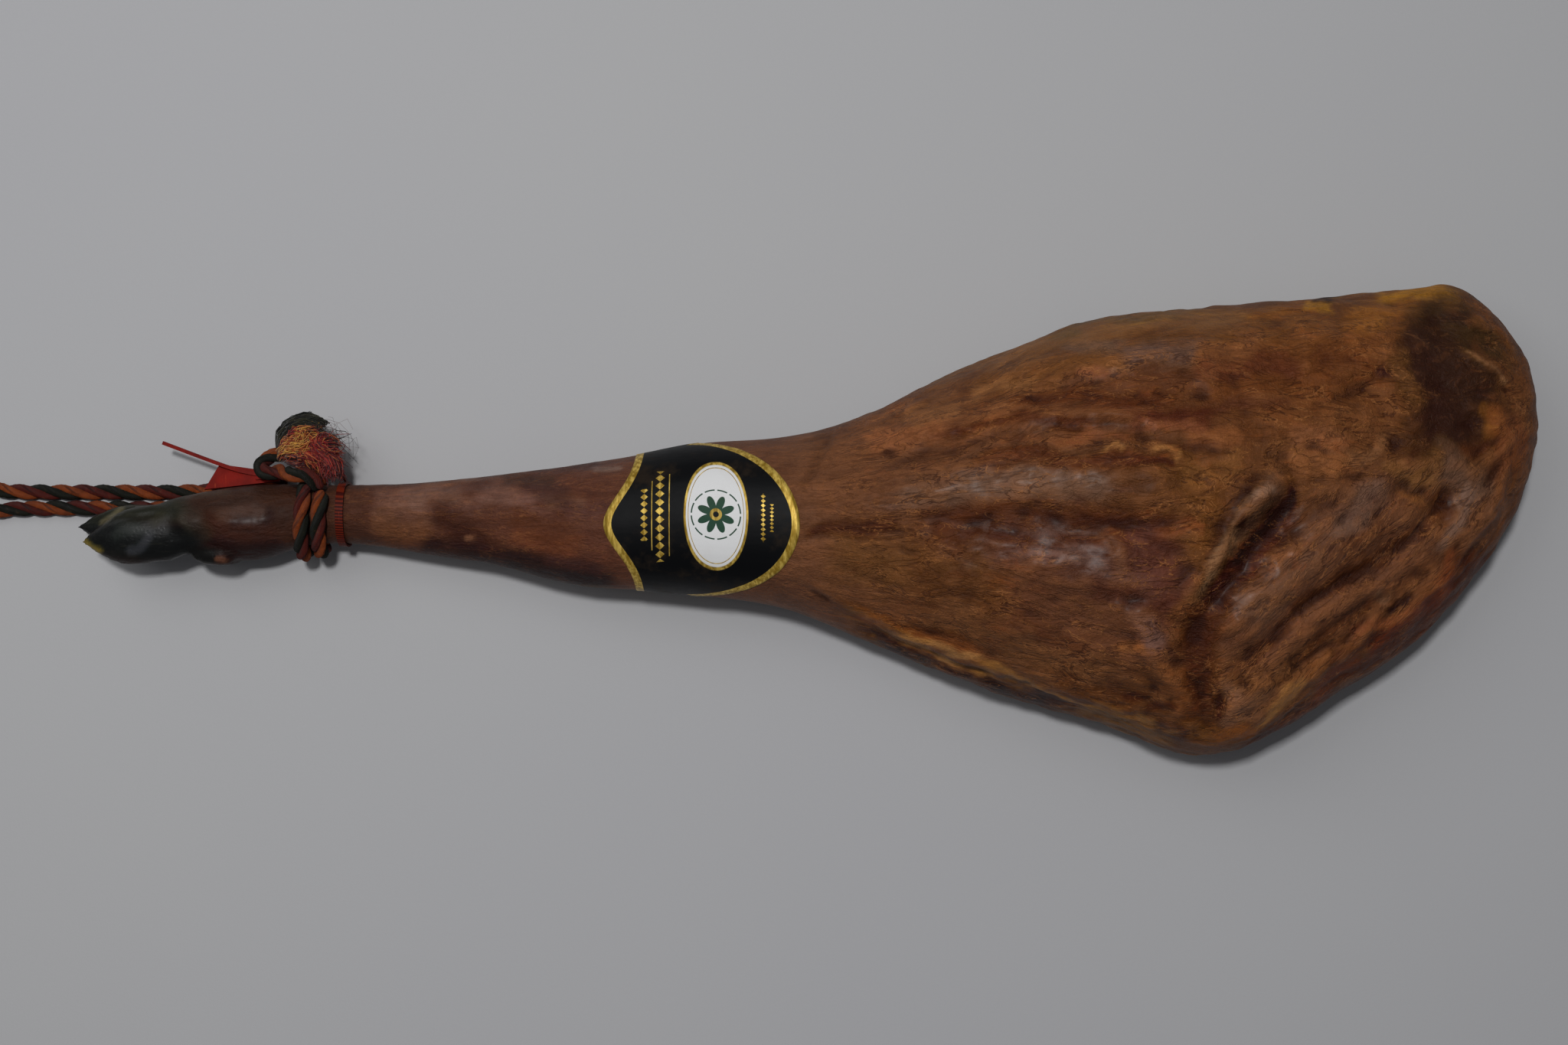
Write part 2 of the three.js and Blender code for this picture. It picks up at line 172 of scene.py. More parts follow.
class NodeSheet:
    """The nodes of one material."""

    def __init__(self, name: str) -> None:
        """Makes an empty material with a Principled shader.

        Args:
            name: The material's name.
        """
        self.material = bpy.data.materials.new(name)
        self.material.use_nodes = True
        self.tree = self.material.node_tree
        self.shader = self.tree.nodes["Principled BSDF"]

    def node(self, kind: str, settings: dict | None = None, inputs: dict | None = None) -> bpy.types.Node:
        """Adds a node of any type.

        Args:
            kind: The node's type.
            settings: Its own settings.
            inputs: Values or wires of its sockets, by name or number.

        Returns:
            The node.
        """
        made = self.tree.nodes.new(kind)
        for key, value in (settings or {}).items():
            setattr(made, key, value)
        for key, value in (inputs or {}).items():
            self.plug(made.inputs[key], value)
        return made

    def plug(self, socket: bpy.types.NodeSocket, value: object) -> None:
        """Links a wire to a socket, or sets the socket's value.

        Args:
            socket: The socket.
            value: A wire, a number, or a colour or vector of three numbers.
        """
        if isinstance(value, Wire):
            self.tree.links.new(value.socket, socket)
        elif isinstance(value, tuple) and len(value) == 3 and socket.type == "RGBA":
            socket.default_value = (*value, 1.0)
        else:
            socket.default_value = value

    def attribute(self, name: str, output: str = "Vector") -> Wire:
        """An attribute of the mesh, as its Vector, Color or Fac output."""
        node = self.node("ShaderNodeAttribute", {"attribute_name": name})
        return Wire(self, node.outputs[output])

    def axes(self, vector: Wire) -> tuple[Wire, Wire, Wire]:
        """A vector's three parts."""
        node = self.node("ShaderNodeSeparateXYZ", inputs={0: vector})
        return tuple(Wire(self, out) for out in node.outputs)

    def joined(self, x: object, y: object, z: object) -> Wire:
        """A vector of three values."""
        return Wire(self, self.node("ShaderNodeCombineXYZ", inputs={0: x, 1: y, 2: z}).outputs[0])

    def scaled(self, vector: Wire, scale: tuple[float, float, float]) -> Wire:
        """A vector times a constant vector."""
        node = self.node("ShaderNodeVectorMath", {"operation": "MULTIPLY"}, {0: vector, 1: scale})
        return Wire(self, node.outputs[0])

    def place(self) -> Wire:
        """The point on the object, in metres."""
        return Wire(self, self.node("ShaderNodeTexCoord").outputs["Object"])

    def noise(
        self, at: Wire, scale: float, detail: float = 3.0, rough: float = 0.55, warp: float = 0.0
    ) -> Wire:
        """Noise from 0 to 1.

        Args:
            at: Where it is read.
            scale: Features per unit.
            detail: Octaves.
            rough: How strong the finer octaves are.
            warp: Distortion.

        Returns:
            The noise's value.
        """
        inputs = {"Vector": at, "Scale": scale, "Detail": detail, "Roughness": rough, "Distortion": warp}
        return Wire(self, self.node("ShaderNodeTexNoise", inputs=inputs).outputs[0])

    def cells(self, at: Wire, scale: float) -> Wire:
        """How far the middle of the nearest cell of a Voronoi pattern is."""
        node = self.node("ShaderNodeTexVoronoi", inputs={"Vector": at, "Scale": scale})
        return Wire(self, node.outputs["Distance"])

    def mix(self, share: object, a: object, b: object, blend: str = "MIX") -> Wire:
        """A mix of two colours.

        Args:
            share: How much of b.
            a: The first colour.
            b: The second.
            blend: The blend's type.

        Returns:
            The mixed colour.
        """
        node = self.node("ShaderNodeMix", {"data_type": "RGBA", "blend_type": blend})
        for index, value in ((0, share), (6, a), (7, b)):
            self.plug(node.inputs[index], value)
        return Wire(self, node.outputs[2])

    def layered(self, colour: Wire, *layers: tuple[object, tuple[int, int, int]]) -> Wire:
        """A colour with more colours laid over it.

        Args:
            colour: The colour underneath.
            layers: How much of each covers it, and the colour that it shows, 0 to 255.

        Returns:
            The mixed colour.
        """
        for share, tone in layers:
            colour = self.mix(share, colour, seen(*tone))
        return colour

    def shaded(self, colour: Wire, tone: Wire) -> Wire:
        """A colour times a number."""
        return self.mix(1.0, colour, self.joined(tone, tone, tone), "MULTIPLY")

    def bump(self, height: Wire, depth: float, strength: float = 1.0, under: Wire | None = None) -> Wire:
        """A bumped normal.

        Args:
            height: The height, about 0 to 1.
            depth: What a height of 1 is, in metres.
            strength: How strongly it shows.
            under: A normal that it adds to.

        Returns:
            The normal.
        """
        inputs = {"Strength": strength, "Distance": depth, "Height": height}
        if under is not None:
            inputs["Normal"] = under
        return Wire(self, self.node("ShaderNodeBump", inputs=inputs).outputs[0])

    def finish(self, **sockets: object) -> bpy.types.Material:
        """Sets the shader's sockets.

        Args:
            sockets: Values or wires by the socket's name, with _ for a space.

        Returns:
            The material.
        """
        for name, value in sockets.items():
            self.plug(self.shader.inputs[name.replace("_", " ")], value)
        return self.material


def seen(red: float, green: float, blue: float) -> tuple[float, float, float]:
    """The surface colour that shows as a screen colour under this scene's light.

    Args:
        red: 0 to 255.
        green: 0 to 255.
        blue: 0 to 255.

    Returns:
        Linear red, green and blue.
    """
    linear = [((c / 255 + 0.055) / 1.055) ** 2.4 if c > 10 else c / 255 / 12.92 for c in (red, green, blue)]
    return tuple(min(0.92, max(0.3 * c, c - VEIL) * GAIN) for c in linear)


# ---- Strokes and dabs on the leg ----


class Turbulence:
    """Smooth noise in space, the same each time for one seed."""

    def __init__(self, seed: int) -> None:
        """Fills the lattice.

        Args:
            seed: The seed that its values come from.
        """
        chance = np.random.default_rng(seed)
        self.order = chance.permutation(256)
        self.values = chance.uniform(-1, 1, 256)

    def at(
        self, points: np.ndarray, step: float | tuple[float, float, float], octaves: int = 1
    ) -> np.ndarray:
        """Noise from -1 to 1.

        Args:
            points: Rows of x, y, z.
            step: The lattice's step, one for all axes or one for each.
            octaves: How many, each half as wide and half as strong.

        Returns:
            One value for each row.
        """
        total = np.zeros(len(points))
        for octave in range(octaves):
            scaled = points / (np.array(step) / 2**octave) + 17.3 * octave
            cell = np.floor(scaled).astype(int)
            part = scaled - cell
            part = part * part * (3 - 2 * part)
            value = np.zeros(len(points))
            for corner in range(8):
                offset = np.array([corner & 1, corner >> 1 & 1, corner >> 2 & 1])
                x, y, z = ((cell + offset) & 255).T
                key = self.order[(self.order[(self.order[x] + y) & 255] + z) & 255]
                value += self.values[key] * np.prod(np.where(offset, part, 1 - part), axis=1)
            total += value / 2**octave
        return total


def drawn(points: np.ndarray) -> np.ndarray:
    """Where points come on the drawing that strokes and dabs are set out on.

    The drawing is made from one eye point above the leg, onto a sheet 35 mm over the table.

    Args:
        points: Rows of x, y, z in mm.

    Returns:
        Rows of x and y in mm.
    """
    eye = np.array([-8.0, -1.1, 1315.0])
    nearer = (eye[2] - 35.0) / (eye[2] - points[:, 2])
    return eye[:2] + (points[:, :2] - eye[:2]) * nearer[:, None]


def step_between(low: float, high: float, value: np.ndarray) -> np.ndarray:
    """A smooth step from 0 at low to 1 at high."""
    t = np.clip((value - low) / (high - low), 0, 1)
    return t * t * (3 - 2 * t)


def rounded(path: tuple[float, ...], pieces: int = 6) -> np.ndarray:
    """A smooth line along a path, by Catmull and Rom's rule.

    Args:
        path: The x and y of each of its points in turn.
        pieces: Steps between one point and the next.

    Returns:
        The line's points, as rows of x and y.
    """
    p = np.array(path, float).reshape(-1, 2)
    if len(p) < 3:
        return np.linspace(p[0], p[-1], pieces + 1)
    p = np.vstack([2 * p[0] - p[1], p, 2 * p[-1] - p[-2]])
    line = []
    for i in range(1, len(p) - 2):
        a, b, c, d = p[i - 1 : i + 3]
        for t in np.arange(pieces) / pieces:
            square, cube = 2 * a - 5 * b + 4 * c - d, 3 * b - a - 3 * c + d
            line.append(0.5 * (2 * b + (c - a) * t + square * t**2 + cube * t**3))
    line.append(p[-2])
    return np.array(line)


def nearest(line: np.ndarray, points: np.ndarray) -> tuple[np.ndarray, np.ndarray, np.ndarray]:
    """How points lie to a line in the plane.

    Args:
        line: The line's points.
        points: The points.

    Returns:
        Each point's distance, its side (1 on the left), and its share of the way along.
    """
    lengths = np.linalg.norm(np.diff(line, axis=0), axis=1)
    starts = np.concatenate([[0], np.cumsum(lengths)])
    best = np.full(len(points), 1e9)
    side = np.ones(len(points))
    share = np.zeros(len(points))
    for i, length in enumerate(lengths):
        way = (line[i + 1] - line[i]) / max(length, 1e-9)
        off = points - line[i]
        run = np.clip(off @ way, 0, length)
        gap = np.linalg.norm(off - run[:, None] * way, axis=1)
        closer = gap < best
        best[closer] = gap[closer]
        side[closer] = np.sign(way[0] * off[closer, 1] - way[1] * off[closer, 0])
        share[closer] = (starts[i] + run[closer]) / starts[-1]
    return best, side, share


class Shape(Enum):
    """How a stroke's height falls off to its sides."""

    ROUND = "round"
    SHARP = "sharp"
    LIP = "lip"  # raised on the left of the way it runs, sunk on the right


@dataclass(frozen=True)
class Stroke:
    """One stroke of the modelling tool.

    Args:
        path: The x and y of each of its points in turn, in mm.
        width: Half its breadth, in mm.
        height: How far it raises the surface, in mm, or lowers it where negative.
        shape: How it falls off.
    """

    path: tuple[float, ...]
    width: float
    height: float
    shape: Shape = Shape.ROUND

    def lift(self, points: np.ndarray) -> np.ndarray:
        """How far each point rises, in mm.

        Args:
            points: x and y of the points, in mm.

        Returns:
            The rise of each.
        """
        gap, side, ends = reach_of(self.path, points, self.width, 3.2)
        near = gap / self.width
        if self.shape is Shape.SHARP:
            fall = np.exp(-near * 1.2)
        elif self.shape is Shape.LIP:
            fall = side * near * np.exp(0.5 - near**2 / 2) * 1.2
        else:
            fall = np.exp(-(near**2))
        return self.height * fall * ends


@dataclass(frozen=True)
class Dab:
    """One dab of colour.

    Args:
        path: The x and y of each of its points in turn, in mm.
        width: Half its breadth, in mm.
        colour: The colour that it shows, 0 to 255.
        strength: 1 covers what is under it.
    """

    path: tuple[float, ...]
    width: float
    colour: tuple[int, int, int]
    strength: float = 0.8

    def cover(self, points: np.ndarray) -> np.ndarray:
        """How much of each point it covers, 0 to 1."""
        gap, _, ends = reach_of(self.path, points, self.width, 2)
        return self.strength * (1 - step_between(0.35, 1.5, gap / self.width)) * ends


def reach_of(
    path: tuple[float, ...], points: np.ndarray, width: float, times: float
) -> tuple[np.ndarray, np.ndarray, np.ndarray]:
    """Measures points against a path.

    Args:
        path: The path.
        points: x and y of the points.
        width: Half the breadth of the stroke along it.
        times: How many widths off points are still measured.

    Returns:
        Each point's distance, its side, and a factor that fades a long path's ends.
    """
    line = rounded(path)
    inside = ((points > line.min(0) - width * times) & (points < line.max(0) + width * times)).all(1)
    gap = np.full(len(points), 1e6)
    side = np.ones(len(points))
    share = np.full(len(points), 0.5)
    gap[inside], side[inside], share[inside] = nearest(line, points[inside])
    if np.linalg.norm(line[-1] - line[0]) < 6 * width:
        return gap, side, np.ones(len(points))
    return gap, side, step_between(0, 0.15, share) * step_between(0, 0.15, 1 - share)


# ---- Meshes by operators ----


def only(piece: bpy.types.Object) -> None:
    """Selects one object alone and makes it the active one.

    Args:
        piece: The object.
    """
    bpy.ops.object.select_all(action="DESELECT")
    piece.hide_set(False)
    piece.select_set(True)
    bpy.context.view_layer.objects.active = piece


def apply_modifier(piece: bpy.types.Object, kind: str, **settings: object) -> None:
    """Adds a modifier to a piece and applies it.

    Args:
        piece: The piece.
        kind: The modifier's type.
        settings: The modifier's settings.
    """
    only(piece)
    modifier = piece.modifiers.new(kind.title(), kind)
    for key, value in settings.items():
        setattr(modifier, key, value)
    bpy.ops.object.modifier_apply(modifier=modifier.name)


def points_of(piece: bpy.types.Object) -> np.ndarray:
    """Reads a piece's points.

    Args:
        piece: The piece.

    Returns:
        Rows of x, y, z in metres.
    """
    flat = np.empty(len(piece.data.vertices) * 3)
    piece.data.vertices.foreach_get("co", flat)
    return flat.reshape(-1, 3)


def set_points(piece: bpy.types.Object, points: np.ndarray) -> None:
    """Moves a piece's points."""
    piece.data.vertices.foreach_set("co", points.astype(np.float32).ravel())
    piece.data.update()


def normals_of(piece: bpy.types.Object) -> np.ndarray:
    """Reads the normals at a piece's points.

    Args:
        piece: The piece.

    Returns:
        Rows of unit vectors.
    """
    flat = np.empty(len(piece.data.vertices) * 3, np.float32)
    piece.data.vertex_normals.foreach_get("vector", flat)
    return flat.reshape(-1, 3).astype(float)


def set_attribute(piece: bpy.types.Object, name: str, values: np.ndarray) -> None:
    """Keeps one number or three for each point of a piece.

    Args:
        piece: The piece.
        name: The attribute's name.
        values: One row for each point.
    """
    kind = "FLOAT" if values.ndim == 1 else "FLOAT_VECTOR"
    made = piece.data.attributes.new(name, kind, "POINT")
    made.data.foreach_set("value" if kind == "FLOAT" else "vector", values.astype(np.float32).ravel())


def neighbours_mean(piece: bpy.types.Object, values: np.ndarray, rounds: int) -> np.ndarray:
    """Values at a piece's points, each round averaged with the points beside.

    Args:
        piece: The piece.
        values: Rows for the points.
        rounds: How many times.

    Returns:
        The smoothed values.
    """
    mesh = piece.data
    ends = np.empty(len(mesh.edges) * 2, np.int64)
    mesh.edges.foreach_get("vertices", ends)
    a, b = ends.reshape(-1, 2).T
    count = np.bincount(a, minlength=len(values)) + np.bincount(b, minlength=len(values)) + 1.0
    table = values.reshape(len(values), -1)
    for _ in range(rounds):
        total = table.copy()
        for axis in range(table.shape[1]):
            total[:, axis] += np.bincount(a, table[b, axis], len(values))
            total[:, axis] += np.bincount(b, table[a, axis], len(values))
        table = total / count[:, None]
    return table.reshape(values.shape)


def mesh_piece(name: str, points: np.ndarray, faces: np.ndarray) -> bpy.types.Object:
    """A piece from points and faces.

    Args:
        name: The piece's name.
        points: Rows of x, y, z in metres.
        faces: Rows of point numbers.

    Returns:
        The piece, shaded smooth.
    """
    mesh = bpy.data.meshes.new(name)
    mesh.from_pydata(points.tolist(), [], faces.tolist())
    mesh.update()
    mesh.shade_smooth()
    piece = bpy.data.objects.new(name, mesh)
    bpy.context.collection.objects.link(piece)
    return piece


def settle(
    piece: bpy.types.Object, name: str, material: bpy.types.Material, node: str
) -> bpy.types.Object:
    """Names and dresses a finished piece, hangs it under the root, and hides the solid that it stands for.

    Args:
        piece: The piece.
        name: Its name.
        material: Its finish.
        node: The solid that it replaces.

    Returns:
        The piece.
    """
    piece.name = name
    piece.data.name = name
    piece.data.materials.clear()
    piece.data.materials.append(material)
    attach(piece, "root")
    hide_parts(node)
    log.info("%s: %d faces", name, len(piece.data.polygons))
    return piece


# ---- The surface that the other pieces lie on ----


@dataclass
class Ground:
    """The leg's surface as it is modelled, for the pieces that lie on it.

    Args:
        surface: The surface.
        slices: The y and z of the middle of each slice across the leg, in metres.
        first: The first slice's x, in mm.
        step: How far apart the slices are, in mm.
    """

    surface: BVHTree | None = None
    slices: np.ndarray | None = None
    first: float = -430.0
    step: float = 5.0

    def read_surface(self, leg: bpy.types.Object) -> None:
        """Keeps a leg's surface and the middles of its slices.

        Args:
            leg: The leg.
        """
        only(leg)
        self.surface = BVHTree.FromObject(leg, bpy.context.evaluated_depsgraph_get())
        points = points_of(leg)
        places = np.round((points[:, 0] / MM - self.first) / self.step).astype(int)
        count = places.max() + 1
        self.slices = np.zeros((count, 2))
        for i in range(count):
            near = points[places == i]
            if len(near):
                self.slices[i] = (near.max(0)[1:] + near.min(0)[1:]) / 2

    def middle(self, x: float) -> Vector:
        """The middle of the leg's slice at one place.

        Args:
            x: The place along the leg, in mm.

        Returns:
            The middle, in metres.
        """
        place = (x - self.first) / self.step
        steps = np.arange(len(self.slices))
        y, z = (np.interp(place, steps, column) for column in self.slices.T)
        return Vector((x * MM, y, z))

    def out_from(self, axis: Vector, way: Vector, clear: float) -> Vector:
        """A point outside the surface, along a ray from inside it.

        Args:
            axis: A point inside.
            way: The ray's direction.
            clear: How far outside, in metres.

        Returns:
            The point.
        """
        way = way.normalized()
        hit = self.surface.ray_cast(axis + way * RAY, -way, RAY)[0]
        return (hit or axis) + way * clear


def way_round(degrees: float) -> Vector:
    """The direction across the leg at an angle, from high Y by way of up."""
    return Vector((0, math.cos(math.radians(degrees)), math.sin(math.radians(degrees))))


# ---- The leg ----

AITCH_BONE = (279, 25, 272, 15, 265, 5, 256, -9, 244, -26, 232, -43, 225, -53)
GROOVE = (296, 22, 288, 7, 272, -16, 254, -40, 243, -54, 236, -66, 234, -84, 238, -108, 243, -132)
RIM = (243, -131, 263, -121, 291, -98, 317, -78, 350, -60, 378, -37, 402, -2, 416, 30, 422, 62)
LOWER_LIP = (10, -47, 40, -57, 66, -69, 105, -84, 148, -99, 190, -115, 222, -127)

# Where the fat shows, where there is horn, and where the surface shines: paths and half their breadth.
FAT = (
    ((120, 103, 185, 112, 252, 122, 300, 127), 7),
    ((297, 126, 319, 128, 345, 131, 372, 137, 392, 134), 9),
    (LOWER_LIP, 5),
    ((256, -126, 272, -116, 296, -96), 5),
    ((402, 66, 409, 58, 411, 49), 4),
)
HORN = (
    ((-428, -6, -405, -8, -380, -12, -362, -16), 15),
    ((-412, 6, -390, 4, -372, -2), 11),
    ((-355, -20, -346, -22), 7),
)
SHINY = (
    ((60, 12, 125, 24, 200, 22), 13),
    ((120, -8, 160, -22, 196, -34), 16),
    ((193, 90, 233, 99), 12),
    ((206, -58, 214, -70), 9),
    ((250, -62, 330, -10, 398, 30), 24),
    ((314, -9, 336, 14), 12),
    ((366, 90, 390, 60, 372, 50), 16),
    ((-252, 12, -230, 8, -182, 14, -137, 9), 11),
    ((-124, 26, -112, 28, -104, 30), 7),
    ((-395, -16, -372, -16), 8),
    ((-330, 12, -318, 0), 10),
)
DARK_PATCH = ((376, 112, 384, 84, 386, 56), 22)

# The leg's own tone before the dabs: x in mm, then red, green and blue, 0 to 255.
GROUND_TONES = (
    (-440, 34, 30, 27), (-335, 42, 32, 28), (-300, 54, 36, 30), (-200, 76, 48, 38), (-120, 77, 48, 38),
    (0, 96, 63, 44), (60, 92, 58, 38), (160, 84, 53, 34), (440, 90, 57, 37),
)

EDGE, LIP = Shape.SHARP, Shape.LIP

